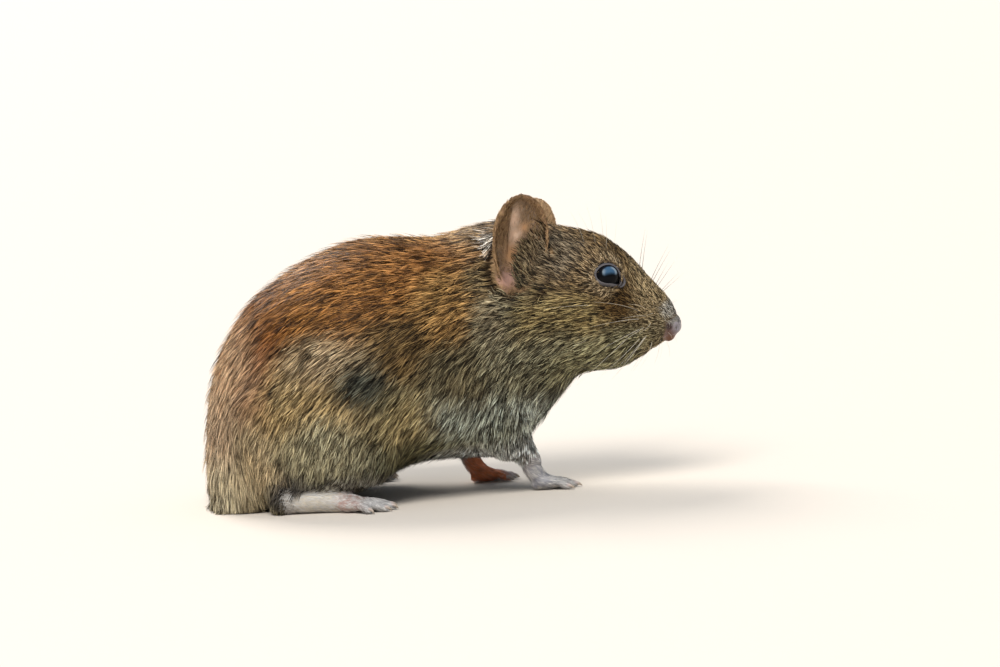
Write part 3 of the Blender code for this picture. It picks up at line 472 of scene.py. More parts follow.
COLOURS = {
    "flank": ("Brown of the flanks between the other markings", (0.18, 0.176, 0.111)),
    "saddle": ("Grey-brown along the spine", (0.566, 0.333, 0.134)),
    "chestnut": ("Red-brown of the loin", (0.285, 0.117, 0.032)),
    "brick": ("Red-brown of the back", (0.365, 0.164, 0.049)),
    "rust": ("Dark red-brown band behind the hip", (0.218, 0.071, 0.02)),
    "ochre": ("Warm band below the back", (0.345, 0.153, 0.039)),
    "drab": ("Dark brown of the middle flank", (0.168, 0.105, 0.04)),
    "straw": ("Yellow-brown of the thigh", (0.446, 0.318, 0.146)),
    "silver": ("Pale patch over the hip", (0.455, 0.338, 0.197)),
    "slate": ("Dark patch before the hip", (0.086, 0.087, 0.064)),
    "tan": ("Sides of the rump", (0.687, 0.459, 0.27)),
    "pearl": ("Hind end of the rump", (0.647, 0.468, 0.303)),
    "fawn": ("Long hair of the rump at the floor", (0.645, 0.555, 0.367)),
    "shade": ("Dark hair over the heel", (0.09, 0.082, 0.072)),
    "cream": ("Pale hind edge of the thigh", (0.579, 0.454, 0.269)),
    "willow": ("Green-grey of the lower thigh", (0.418, 0.373, 0.231)),
    "dusk": ("Dark lower edge of the thigh", (0.275, 0.25, 0.2)),
    "wheat": ("Light brown of the lower flank", (0.467, 0.365, 0.176)),
    "belly": ("Underside", (0.2, 0.18, 0.115)),
    "umbra": ("Dark edge of the belly", (0.234, 0.208, 0.106)),
    "ash": ("Blue-grey of the chest", (0.395, 0.414, 0.331)),
    "down": ("Pale grey of the breast", (0.627, 0.652, 0.546)),
    "olive": ("Grey-brown behind the shoulder", (0.208, 0.171, 0.094)),
    "honey": ("Yellow-brown of the shoulder", (0.365, 0.206, 0.069)),
    "fallow": ("Grey-yellow of the neck", (0.29, 0.26, 0.161)),
    "ink": ("Dark patch on the side of the neck", (0.284, 0.233, 0.141)),
    "smoke": ("Grey of the lower forelegs", (0.598, 0.614, 0.585)),
    "moss": ("Olive brown of the face", (0.197, 0.126, 0.055)),
    "umber": ("Grizzled brown of the crown", (0.29, 0.19, 0.095)),
    "grizzle": ("Grey-brown before the ear", (0.194, 0.147, 0.09)),
    "soot": ("Dark hair behind the ear", (0.272, 0.194, 0.09)),
    "chalk": ("White tuft behind the ear", (0.76, 0.69, 0.58)),
    "amber": ("Ochre of the cheek", (0.3, 0.222, 0.092)),
    "sand": ("Yellow-grey under the cheek", (0.262, 0.238, 0.145)),
    "milk": ("Pale chin", (0.404, 0.367, 0.202)),
    "russet": ("Dark red-brown behind the whisker pad", (0.122, 0.07, 0.024)),
    "dust": ("Grey-brown of the muzzle", (0.438, 0.327, 0.174)),
    "frost": ("Grey-white hair over the nose", (0.48, 0.45, 0.38)),
    "buff": ("Pale ring round the eye", (0.27, 0.185, 0.092)),
    "halo": ("Pale edge of the eyelids' hair", (0.47, 0.35, 0.2)),
    "ear_back": ("Brown skin of the ears", (0.46, 0.28, 0.16)),
    "ear_hair": ("Short hair of the ears", (0.5, 0.32, 0.165)),
    "ear_bowl": ("Grey-brown skin inside the ears", (0.29, 0.215, 0.155)),
    # The pale pink and orange-red skin of the ears is partly their own colour and partly painted glow of
    # light through the thin ear.
    "ear_blush": ("Pale pink skin deep in the ears", (0.90, 0.66, 0.50)),
    "ear_flush": ("Orange-red skin round the pale pink of the ears", (0.62, 0.34, 0.16)),
    "ear_lobe": ("Purple-pink skin at the ears' lower edge", (0.5, 0.29, 0.235)),
    # Painted shade along the ears' folds, where the rolled hind rim steps down into the bowl.
    "ear_fold": ("Dark lines of the ears' folds", (0.17, 0.09, 0.045)),
    "foot": ("Pink-grey skin of the feet", (0.50, 0.42, 0.41)),
    "foot_heel": ("Dark grey-brown hair of the heel", (0.26, 0.22, 0.175)),
    "foot_cream": ("Cream-white hair of the hind foot", (0.86, 0.79, 0.66)),
    "foot_blush": ("Pink skin at the roots of the hind toes", (0.62, 0.42, 0.37)),
    "foot_toe": ("Blue-grey skin of the toes", (0.46, 0.45, 0.45)),
    "foot_frost": ("Blue-grey skin of the forepaw", (0.36, 0.36, 0.41)),
    # The left forepaw's red is partly flesh colour and partly painted glow of light through the thin skin.
    "warm_foot": ("Red skin under the thin hair of the left forepaw", (0.78, 0.25, 0.10)),
    "foot_hair": ("White hair of the feet", (0.82, 0.80, 0.77)),
    "tail_top": ("Dark upper side of the tail", (0.13, 0.095, 0.07)),
    "tail_under": ("Pale underside of the tail", (0.42, 0.36, 0.29)),
    "nose": ("Red-brown wings of the nose", (0.13, 0.058, 0.04)),
    "nose_tip": ("Orange-brown lower tip of the nose", (0.155, 0.068, 0.036)),
    "nostril": ("Dark red of the nostrils", (0.045, 0.02, 0.017)),
    "nose_pad": ("Blue-grey front of the nose", (0.29, 0.265, 0.29)),
    "lid": ("Dark grey bare edge of the eyelids", (0.12, 0.112, 0.118)),
    "eye": ("Black of the eye", (0.004, 0.004, 0.005)),
    # The eye's blue bloom is a painted reflection of the sky, and its pale ends are painted highlights.
    "eye_bloom": ("Blue sheen over the upper half of the eye", (0.045, 0.10, 0.175)),
    "eye_glint": ("Pale ends of the eye's sheen", (0.38, 0.46, 0.52)),
    "nose_hair": ("Grey hair on the top of the nose", (0.32, 0.3, 0.26)),
    "claw": ("Horn of the claws", (0.40, 0.33, 0.26)),
    "dark_whisker": ("Roots of the whiskers and the upper ones", (0.06, 0.045, 0.035)),
    "pale_whisker": ("Ends of the whiskers and the lower ones", (0.72, 0.66, 0.54)),
}


class VoleColours(PropertyGroup):
    """Colours of the coat's markings and of the bare skin."""

    __annotations__ = {
        key: tint(key.replace("_", " ").capitalize(), description, colour)
        for key, (description, colour) in COLOURS.items()
    }


class VoleStage(PropertyGroup):
    """Sizes, colours and powers of the stage."""

    floor_radius: FloatProperty(
        name="Floor radius", description="Radius of the round floor", default=9.0, min=0.1, unit="LENGTH"
    )
    floor: tint("Floor", "Pale floor", (0.66, 0.60, 0.53))
    air_low: tint("Low air", "Light from near the horizon", (0.52, 0.49, 0.45))
    air_high: tint("High air", "Light from overhead", (0.62, 0.74, 0.90))
    air_strength: FloatProperty(
        name="Air strength", description="Strength of the light from all round", default=0.62, min=0.0
    )
    key_power: FloatProperty(
        name="Key power", description="Power of the main lamp", default=125.0, min=0.0, subtype="POWER"
    )
    fill_power: FloatProperty(
        name="Fill power",
        description="Power of the lamp behind the model",
        default=95.0,
        min=0.0,
        subtype="POWER",
    )


class Dye:
    """A socket of a recipe's nodes that takes part in sums."""

    def __init__(self, recipe, socket):
        self.recipe = recipe
        self.socket = socket

    def __add__(self, other):
        return self.recipe.sum("ADD", self, other)

    def __sub__(self, other):
        return self.recipe.sum("SUBTRACT", self, other)

    def __mul__(self, other):
        return self.recipe.sum("MULTIPLY", self, other)

    def __rsub__(self, other):
        return self.recipe.sum("SUBTRACT", other, self)

    __radd__ = __add__
    __rmul__ = __mul__


class Recipe:
    """The nodes of a material or of the air, from what they read to the output."""

    def __init__(self, owner):
        self.owner = owner
        owner.use_nodes = True
        self.tree = owner.node_tree
        self.tree.nodes.clear()

    def node(self, kind, settings=None, inputs=None, out=0):
        """Adds a node with its settings and then its inputs, and gives one of its outputs."""
        node = self.tree.nodes.new(kind)
        settings = dict(settings or {})
        for i, (place, colour) in enumerate(settings.pop("stops", ())):
            node.color_ramp.elements[i].position = place
            node.color_ramp.elements[i].color = colour
        for key, value in settings.items():
            setattr(node, key, value)
        for key, value in (inputs or {}).items():
            if isinstance(value, Dye):
                self.tree.links.new(value.socket, node.inputs[key])
            else:
                node.inputs[key].default_value = value
        return Dye(self, node.outputs[out]) if len(node.outputs) else None

    def sum(self, operation, first, second=0.0):
        return self.node("ShaderNodeMath", {"operation": operation}, {0: first, 1: second})

    def vector(self, operation, first, second=(0.0, 0.0, 0.0), out=0):
        return self.node("ShaderNodeVectorMath", {"operation": operation}, {0: first, 1: second}, out)

    def scaled(self, vector, factor):
        return self.node("ShaderNodeVectorMath", {"operation": "SCALE"}, {0: vector, "Scale": factor})

    def mix(self, share, first, second):
        """The first colour where the share is 0 and the second where it is 1."""
        inputs = {0: share, 6: opaque(first), 7: opaque(second)}
        return self.node("ShaderNodeMix", {"data_type": "RGBA"}, inputs, 2)

    def ease(self, value, low, high):
        """0 below the low value and 1 above the high one, with a soft step between."""
        inputs = {"Value": value, "From Min": low, "From Max": high}
        return self.node("ShaderNodeMapRange", {"interpolation_type": "SMOOTHSTEP"}, inputs)

    def reading(self, name, out=2):
        """A value that the mesh holds at its points, or the vector that it holds where out is 1."""
        return self.node("ShaderNodeAttribute", {"attribute_name": name}, out=out)

    def noise(self, place, scale, detail=2.0, out=0):
        inputs = {"Vector": place, "Scale": scale, "Detail": detail}
        return self.node("ShaderNodeTexNoise", None, inputs, out)

    def surface(self, inputs):
        """Ends the recipe in one surface with the given inputs."""
        shader = self.node("ShaderNodeBsdfPrincipled", None, inputs)
        self.node("ShaderNodeOutputMaterial", None, {"Surface": shader})
        return self.owner


def opaque(colour):
    """A colour that a colour socket takes."""
    return colour if isinstance(colour, Dye) else (*colour, 1.0)


def settings():
    """The sizes and the colours that the user has set."""
    return bpy.context.scene.vole_coat, bpy.context.scene.vole_colours


def on_side(point, side):
    """A place given for the left side, on the side asked for."""
    return Vector((point[0], point[1] * side, point[2]))


def head_pose():
    """The turn of the head about the neck."""
    turn = Matrix.Rotation(HEAD_YAW, 4, "Z") @ Matrix.Rotation(HEAD_ROLL, 4, "X")
    return Matrix.Translation(HEAD_PIVOT) @ turn @ Matrix.Translation(-HEAD_PIVOT)


def node_middle(name):
    low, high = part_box(name)
    return (low + high) / 2


# The footprint's middle in the frame that the places above are given in.
FOOTPRINT = head_pose() @ on_side(EYE_CENTRE, RIGHT) - node_middle("eye_right") / MM


def placed(point):
    """A place in millimetres, in the part's own frame in metres."""
    return (Vector(point) - FOOTPRINT) * MM


def posed(point):
    """A place of the straight head, in the part's own frame."""
    return placed(head_pose() @ Vector(point))


def swivelled(first, second, angle):
    """Two coordinates, turned in their plane by an angle."""
    cosine, sine = np.cos(angle), np.sin(angle)
    return first * cosine - second * sine, second * cosine + first * sine


def turned(vectors, share, back=False):
    """Vectors turned by a share of the head's turn, or turned back by it."""
    x, y, z = vectors.T
    if back:
        x, y = swivelled(x, y, -HEAD_YAW * share)
        y, z = swivelled(y, z, -HEAD_ROLL * share)
    else:
        y, z = swivelled(y, z, HEAD_ROLL * share)
        x, y = swivelled(x, y, HEAD_YAW * share)
    return np.stack([x, y, z], axis=1)


def stepped(values, low, high):
    """0 below the low value and 1 above the high one, with a soft step between."""
    share = np.clip((values - low) / (high - low), 0.0, 1.0)
    return share * share * (3.0 - 2.0 * share)


def faded(values, low, high):
    """1 below the low value and 0 above the high one, with a soft step between."""
    return 1.0 - stepped(values, low, high)


def plain_place(points):
    """Points of the part in the plain frame, where the head is straight and both sides are the left
    one, in millimetres, with each one's side and its share of the head's turn."""
    own = points / MM + np.array(FOOTPRINT)
    share = stepped(own[:, 0] - TURN_SLANT * (TURN_TOP - own[:, 2]), *TURN_REACH)
    pivot = np.array(HEAD_PIVOT)
    plain = turned(own - pivot, share, back=True) + pivot
    side = np.where(plain[:, 1] < 0, RIGHT, LEFT)
    plain[:, 1] = np.abs(plain[:, 1])
    return plain, side, share


def combed(plain, side):
    """The coat's way, length and depth at places of the plain frame, blended from the combing."""
    places = np.array([comb.place for comb in COMBING], float)
    ways = np.array([Vector(comb.way).normalized() for comb in COMBING])
    sizes = np.array([(comb.length, comb.depth) for comb in COMBING])
    sides = np.array([comb.side for comb in COMBING])
    rows = np.concatenate([ways, sizes], axis=1)
    blended = np.empty((len(plain), 5))
    for start in range(0, len(plain), COMB_BLOCK):
        part = slice(start, start + COMB_BLOCK)
        apart = ((plain[part, None, :] - places[None]) ** 2).sum(axis=2)
        weight = 1.0 / (apart + COMB_SOFTNESS) ** COMB_POWER
        weight *= (sides[None] == 0) | (sides[None] == side[part, None])
        blended[part] = weight @ rows / weight.sum(axis=1, keepdims=True)
    return blended[:, :3], blended[:, 3], blended[:, 4]


def unit(vectors):
    return vectors / np.maximum(np.linalg.norm(vectors, axis=1, keepdims=True), 1e-12)


def numbers(items, field, width, kind=np.float32):
    """What a mesh's items hold in a field, as rows of the given width."""
    found = np.empty(len(items) * width, kind)
    items.foreach_get(field, found)
    return found.reshape(-1, width)


def point_array(mesh):
    return numbers(mesh.vertices, "co", 3).astype(float)


def normal_array(mesh):
    return numbers(mesh.vertex_normals, "vector", 3).astype(float)


def edge_array(mesh):
    return numbers(mesh.edges, "vertices", 2, np.int32)


def set_points(mesh, points):
    mesh.vertices.foreach_set("co", points.astype(np.float32).ravel())
    mesh.update()


def keep_values(mesh, name, values, width=1):
    """Stores values at a mesh's points."""
    kind, field = ("FLOAT", "value") if width == 1 else ("FLOAT_VECTOR", "vector")
    held = mesh.attributes.new(name, kind, "POINT")
    held.data.foreach_set(field, np.ascontiguousarray(values, np.float32).ravel())


def read_values(mesh, name):
    return numbers(mesh.attributes[name].data, "value", 1)[:, 0].astype(float)


def relaxed(values, edges, rounds, strength):
    """Values at a mesh's points, evened out with their neighbours'."""
    count = len(values)
    ends = np.concatenate([edges[:, 0], edges[:, 1]])
    others = np.concatenate([edges[:, 1], edges[:, 0]])
    neighbours = np.maximum(np.bincount(ends, minlength=count), 1)
    values = values.reshape(count, -1)
    for _ in range(rounds):
        near = values[others]
        mean = [np.bincount(ends, near[:, i], count) / neighbours for i in range(values.shape[1])]
        values = values + strength * (np.stack(mean, axis=1) - values)
    return values


def add_object(name, mesh, material=None, ride=True):
    """An object of the scene, which rides on the model's body unless it is the stage's or a passing one."""
    obj = bpy.data.objects.new(name, mesh)
    bpy.context.scene.collection.objects.link(obj)
    if material:
        mesh.materials.clear()
        mesh.materials.append(material)
    if ride:
        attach(obj, "root")
    return obj


def modified(obj, kind, **values):
    """The mesh of a passing object after one modifier. The object itself is removed."""
    modifier = obj.modifiers.new(kind, kind)
    for key, value in values.items():
        setattr(modifier, key, value)
    found = bpy.data.meshes.new_from_object(obj.evaluated_get(bpy.context.evaluated_depsgraph_get()))
    bpy.data.objects.remove(obj)
    return found


def nearness(names, points, low, high):
    """1 at points on the named solids, and 0 beyond the high distance, in millimetres."""
    found = np.zeros(len(points))
    for name in names:
        corners = [np.array(corner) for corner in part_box(name)]
        inside = ((points > corners[0] - high * MM) & (points < corners[1] + high * MM)).all(axis=1)
        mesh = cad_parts[name].data
        tree = BVHTree.FromPolygons([v.co for v in mesh.vertices], [p.vertices for p in mesh.polygons])
        chosen = np.flatnonzero(inside)
        apart = np.array([tree.find_nearest(Vector(points[i]))[3] for i in chosen]) / MM
        found[chosen] = np.maximum(found[chosen], faded(apart, low, high))
    return found


def eye_axes(side):
    """The eye's centre and its ways forward, up and out, on the straight head."""
    looks = on_side(EYE_LOOKS, side).normalized()
    up = (Vector((0, 0, 1)) - looks * looks.z).normalized()
    ahead = up.cross(looks)
    ahead = ahead if ahead.x > 0 else -ahead
    return on_side(EYE_CENTRE, side), ahead, up, looks


def ear_axes(side):
    """The ear's middle and its ways up, outwards and ahead, on the straight head."""
    up = on_side(EAR_UP, side).normalized()
    looks = on_side(EAR_LOOKS, side)
    looks = (looks - up * looks.dot(up)).normalized()
    ahead = looks.cross(up).normalized() * side
    return on_side(EAR_CENTRES[side], side), up, looks, ahead


def ear_places(points, normals):
    """Where points lie on the nearer ear: their height and width as shares of its half sizes, their
    distance out of its plane in millimetres, and how far they face out of the cup."""
    turn = head_pose().to_3x3()
    best = np.full(len(points), np.inf)
    found = np.zeros((len(points), 4))
    for side in SIDE_NAMES:
        centre, up, looks, ahead = ear_axes(side)
        away = points / MM - np.array(head_pose() @ centre - FOOTPRINT)
        tall = away @ np.array(turn @ up) / EAR_HALF_LENGTH
        wide = away @ np.array(turn @ ahead) / EAR_HALF_WIDTH
        out = away @ np.array(turn @ looks)
        faces = normals @ np.array(turn @ looks)
        apart = np.linalg.norm(away, axis=1)
        nearer = apart < best
        best = np.where(nearer, apart, best)
        found = np.where(nearer[:, None], np.stack([tall, wide, out, faces], axis=1), found)
    return found.T


def spotted(tall, wide, spot):
    """1 in the middle of a soft spot of the ear, and 0 beyond it."""
    high, ahead = (tall - spot.middle[0]) / spot.reach[0], (wide - spot.middle[1]) / spot.reach[1]
    return np.exp(-(high**2) - ahead**2)


def ear_shares(points, normals):
    """Shares of the places inside the ears: the bare bowl, its pale pink skin, its orange-red skin, both
    partly painted glow of light through the thin ear, the purple-pink lobe, the painted shade along the
    folds and the furred part before the opening."""
    tall, wide, out, faces = ear_places(points, normals)
    inside = stepped(faces, 0.05, 0.45) * faded(np.abs(out), *CUP_REACH)
    low = faded(tall, -0.2, -0.02)
    bowl = faded(np.hypot(tall, wide), 0.8, 0.93) * np.maximum(stepped(wide, -0.34, -0.2), low)
    # Painted shade along the step from the rolled hind rim down into the bowl, and at the fold's front end.
    line = np.exp(-(((wide + 0.25) / 0.06) ** 2)) * stepped(tall, -0.35, -0.1) * faded(tall, 0.5, 0.7)
    below_bowl = 0.7 * wide - tall - 0.25
    before_bowl = wide - np.maximum(0.05, 0.5 + 0.8 * tall)
    shares = {
        "bowl": bowl,
        "blush": np.maximum(spotted(tall, wide, PALE_TOP), spotted(tall, wide, PALE_FOOT)),
        "flush": np.maximum(spotted(tall, wide, RED_FRONT), spotted(tall, wide, RED_FOOT)),
        "lobe": spotted(tall, 0.6 * wide, PURPLE_LOBE),
        "fold": 0.8 * np.maximum(line, spotted(tall, wide, FOLD_SHADE_END)),
        "front": stepped(np.minimum(below_bowl, before_bowl), -0.05, 0.16),
    }
    return {name: inside * share for name, share in shares.items()}


def ear_fold(points, normals):
    """How far the inside of an ear stands out over its plain cup, in metres: the broad rolled hind rim,
    with a step down into the bowl, and the small lobe before the opening."""
    tall, wide, out, faces = ear_places(points, normals)
    inside = stepped(faces, 0.05, 0.5) * faded(np.abs(out), *CUP_REACH)
    window = stepped(tall, -0.5, -0.1) * faded(tall, 0.5, 0.85)
    band = faded(wide, -0.33, -0.21) * faded(-wide, 0.6, 0.95) * window
    from_rim = (np.hypot(tall, wide) - 0.93) / 0.07
    roll = np.exp(-(from_rim**2)) * (0.5 + 0.5 * stepped(-wide, -0.3, 0.5))
    lobe = spotted(tall, wide, FRONT_LOBE)
    return inside * (0.6 * band + 0.22 * roll + 0.5 * lobe) * MM


def bare_nose(points):
    """1 on the bare skin of the nose, which ends in slanting lines on the muzzle's top and sides."""
    x, aside, z = plain_place(points)[0].T
    rear_line = 38.35 + 0.2 * (z - 21.65)
    top_line = 24.0 + 0.58 * (x - 38.92)
    ahead = stepped(x - rear_line, -0.25, 0.15)
    below_top = faded(z - top_line, -0.25, 0.25)
    over_lip = stepped(z, 20.6, 21.1)
    return ahead * below_top * over_lip * faded(aside, 3.1, 3.8)


def lid_share(points, side):
    """1 on the bare skin round one eye and in the wedge before its front corner."""
    centre, ahead, up, _ = eye_axes(side)
    turn = head_pose().to_3x3()
    away = (points - np.array(posed(centre))) / MM
    forward, over = away @ np.array(turn @ ahead), away @ np.array(turn @ up)
    apart = np.linalg.norm(away, axis=1)
    cosine, sine = math.cos(EYE_CORNER_ANGLE), math.sin(EYE_CORNER_ANGLE)
    along, aside = forward * cosine + over * sine, np.abs(over * cosine - forward * sine)
    half_width = CORNER_WIDTH * (1.0 - (along - CORNER_START) / CORNER_LENGTH)
    wedge = stepped(half_width - aside, -0.1, 0.25) * stepped(along, CORNER_START - 0.4, CORNER_START)
    return np.maximum(faded(apart, *LID_BORDER), wedge * (apart < CORNER_REACH))


def regions(points, normals):
    """Shares of the bare or short-haired places at points of the skin."""
    lid = np.maximum(*(lid_share(points, side) for side in SIDE_NAMES))
    ear = nearness(EARS, points, *EAR_BORDER)
    inner = {name: ear * share for name, share in ear_shares(points, normals).items()}
    return {
        "ear": ear,
        **inner,
        "foot": nearness(PAWS, points, *FOOT_BORDER),
        "tail": nearness(TAIL, points, *TAIL_BORDER),
        "nose": bare_nose(points),
        "lid": lid,
    }


def raised_flesh():
    """The flesh solids in one mesh, each a little fuller, so that the thin cuts between them close."""
    whole = bmesh.new()
    for name in FLESH:
        part = bmesh.new()
        part.from_mesh(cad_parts[name].data)
        bmesh.ops.remove_doubles(part, verts=part.verts, dist=SAME_PLACE)
        bmesh.ops.recalc_face_normals(part, faces=part.faces)
        for vert in part.verts:
            vert.co += vert.normal * CLOSING
        mesh = bpy.data.meshes.new(name)
        part.to_mesh(mesh)
        part.free()
        whole.from_mesh(mesh)
        bpy.data.meshes.remove(mesh)
    mesh = bpy.data.meshes.new("flesh")
    whole.to_mesh(mesh)
    whole.free()
    return mesh


def sunk_skin():
    """One closed skin that lies inside the flesh solids by the coat's depth."""
    flesh = add_object("flesh", raised_flesh(), ride=False)
    mesh = modified(flesh, "REMESH", mode="VOXEL", voxel_size=SKIN_VOXEL)
    edges = edge_array(mesh)
    points = point_array(mesh)
    normals = normal_array(mesh)
    parts = regions(points, normals)
    fine = np.max([parts[name] for name in ("ear", "foot", "tail", "nose", "lid")], axis=0)
    plain, side, _ = plain_place(points)
    from_mouth = np.hypot(plain[:, 0] - MOUTH[0], plain[:, 2] - MOUTH[1])
    fine = np.maximum(fine, faded(from_mouth, *MOUTH_BORDER))
    # The whole skin is evened out a little, and then the furred parts much more.
    for rounds, strength in ((4, 0.5 - 0.3 * fine), (20, 0.6 * (1.0 - fine))):
        points = relaxed(points, edges, rounds, strength[:, None])
    _, _, depth = combed(plain, side)
    for name, bare_depth in BARE_DEPTHS.items():
        depth = depth + (bare_depth - depth) * parts[name]
    depth = relaxed(depth, edges, 12, 0.5)[:, 0]
    set_points(mesh, points)
    normals = unit(relaxed(normal_array(mesh), edges, 2, 0.5))
    rise = relaxed(parts["ear"] * ear_fold(points, normals), edges, 2, 0.5)[:, 0]
    set_points(mesh, points + normals * (rise - CLOSING - depth * MM)[:, None])
    sunk = add_object("sunk", mesh, ride=False)
    furred = sunk.vertex_groups.new(name="furred")
    levels = np.round((1.0 - fine) * THINNING_LEVELS).astype(int)
    for level in range(1, THINNING_LEVELS + 1):
        furred.add(np.flatnonzero(levels == level).tolist(), level / THINNING_LEVELS, "REPLACE")
    return modified(
        sunk, "DECIMATE", ratio=SKIN_KEEPS, use_collapse_triangulate=True, vertex_group="furred"
    )


def unwrap(obj):
    """Lays the skin out flat, by its own shape, with room between the islands."""
    obj.data.uv_layers.new(name=COAT_MAP)
    bpy.context.view_layer.objects.active = obj
    obj.select_set(True)
    bpy.ops.object.mode_set(mode="EDIT")
    bpy.ops.mesh.select_all(action="SELECT")
    bpy.ops.uv.smart_project(angle_limit=UNWRAP_ANGLE, island_margin=2 * HAIR_CELL)
    bpy.ops.object.mode_set(mode="OBJECT")
    obj.select_set(False)


def marked(recipe, colours):
    """The coat's colour at a place of the plain frame, the same for skin and coat."""
    place = recipe.reading("place", 1)
    wander = recipe.vector("SUBTRACT", recipe.noise(place, 0.23, 3.0, out=1), (0.5, 0.5, 0.5))
    place = recipe.vector("ADD", place, recipe.scaled(wander, WANDER))
    return patched(recipe, place, colours.flank, MARKINGS, colours)


def patched(recipe, place, colour, patches, colours):
    """A ground colour with patches of other colours laid over it in turn."""
    for patch in patches:
        away = recipe.vector("DIVIDE", recipe.vector("SUBTRACT", place, patch.middle), patch.reach)
        apart = recipe.vector("LENGTH", away, out=1)
        share = recipe.ease(apart, 1.0 + patch.soft / 2, 1.0 - patch.soft / 2)
        colour = recipe.mix(share, colour, getattr(colours, patch.colour))
    return colour


def shaded(recipe, colour):
    """The slate under-colour of the coat where it has the given colour."""
    return recipe.vector("ADD", recipe.vector("MULTIPLY", colour, UNDER_COLOUR), UNDER_LEAST)


def skin_material(colours):
    """Skin under the coat, and the bare or thinly haired ears, feet, tail, nose and eyelids."""
    recipe = Recipe(bpy.data.materials.new("vole_skin"))
    place = recipe.reading("place", 1)
    coat = marked(recipe, colours)
    mottle = recipe.noise(place, 0.9, 4.0)
    grain = recipe.noise(place, 7.0, 3.0)
    colour = recipe.mix(0.35 + mottle * 0.25, shaded(recipe, coat), coat)
    ear = recipe.mix(mottle * 0.5, colours.ear_back, shaded(recipe, colours.ear_back))
    veins = recipe.ease(recipe.noise(place, 1.6, 5.0), 0.56, 0.44)
    ear = recipe.mix(recipe.reading("bowl") * 0.9, ear, colours.ear_bowl)
    # Orange-red and pale pink skin inside the ears: their own colour, brightened as painted glow of light
    # through the ear.
    ear = recipe.mix(recipe.reading("flush") * (0.7 + mottle * 0.4), ear, colours.ear_flush)
    blush = recipe.mix(veins * 0.25, colours.ear_blush, colours.ear_flush)
    ear = recipe.mix(recipe.reading("blush"), ear, blush)
    ear = recipe.mix(recipe.reading("lobe") * 0.9, ear, colours.ear_lobe)
    # Painted shade along the ears' folds.
    ear = recipe.mix(recipe.reading("fold"), ear, colours.ear_fold)
    colour = recipe.mix(recipe.reading("ear"), colour, ear)
    foot = patched(recipe, place, colours.foot, FOOT_MARKINGS, colours)
    foot = recipe.mix(mottle * 0.45, foot, shaded(recipe, foot))
    colour = recipe.mix(recipe.reading("foot"), colour, foot)
    rings = recipe.sum("SINE", recipe.reading("tail_run") * (2 * math.pi / TAIL_RING))
    under = recipe.reading("under")
    tail = recipe.mix(recipe.ease(under, 0.35, 0.75), colours.tail_top, colours.tail_under)
    tail = recipe.mix(recipe.ease(rings, -0.2, -0.9) * 0.45, tail, shaded(recipe, tail))
    colour = recipe.mix(recipe.reading("tail"), colour, tail)
    nose = patched(recipe, place, colours.nose, NOSE_MARKINGS, colours)
    nose = recipe.mix(recipe.ease(grain, 0.45, 0.7) * 0.3, nose, shaded(recipe, nose))
    bare_nose = recipe.reading("nose")
    colour = recipe.mix(bare_nose, colour, nose)
    bare_lid = recipe.ease(recipe.reading("lid"), 0.45, 0.8)
    colour = recipe.mix(bare_lid, colour, colours.lid)
    damp = recipe.sum("MAXIMUM", bare_nose, bare_lid)
    pebbles = recipe.node("ShaderNodeTexVoronoi", None, {"Vector": place, "Scale": 4.5})
    bumps = grain * (1.0 - bare_nose) + pebbles * bare_nose * 1.4 + rings * recipe.reading("tail") * 0.35
    normal = recipe.node(
        "ShaderNodeBump", None, {"Strength": 0.55, "Distance": 0.07 * MM, "Height": bumps}
    )
    return recipe.surface({
        "Base Color": colour,
        "Roughness": 0.68 - damp * 0.36 + grain * 0.1,
        "Specular IOR Level": 0.25,
        "Normal": normal,
    })


def tail_run(points):
    """How far along the tail points lie, in millimetres, and the tail's way there."""
    route = np.array([placed(point) for point in TAIL_ROUTE])
    steps = np.linalg.norm(np.diff(route, axis=0), axis=1)
    starts = np.concatenate([[0.0], np.cumsum(steps)])
    best = np.full(len(points), np.inf)
    run = np.zeros(len(points))
    way = np.zeros((len(points), 3))
    for i, step in enumerate(np.diff(route, axis=0)):
        share = np.clip((points - route[i]) @ step / steps[i] ** 2, 0.0, 1.0)
        apart = np.linalg.norm(points - route[i] - share[:, None] * step, axis=1)
        nearer = apart < best
        best = np.where(nearer, apart, best)
        run = np.where(nearer, starts[i] + share * steps[i], run)
        way = np.where(nearer[:, None], step / steps[i], way)
    return run / MM, way


class VOLE_OT_skin(Operator):
    """Builds the one skin that takes the place of all flesh solids"""

    bl_idname = "vole.skin"
    bl_label = "Skin"

    def execute(self, context):
        mesh = sunk_skin()
        mesh.name = "skin"
        points, normals = point_array(mesh), normal_array(mesh)
        parts = regions(points, normals)
        parts["tail_run"] = tail_run(points)[0]
        parts["under"] = 0.5 - 0.5 * normals[:, 2]
        for name, values in parts.items():
            keep_values(mesh, name, values)
        keep_values(mesh, "place", plain_place(points)[0], 3)
        mesh.shade_smooth()
        skin = add_object("skin", mesh, skin_material(context.scene.vole_colours))
        unwrap(skin)
        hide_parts(*FLESH)
        return {"FINISHED"}


class Pelt(NamedTuple):
    """The skin as the coat's roots need it."""

    points: np.ndarray
    normals: np.ndarray
    triangles: np.ndarray
    areas: np.ndarray
    corner_map: np.ndarray
    parts: dict
    tree: BVHTree


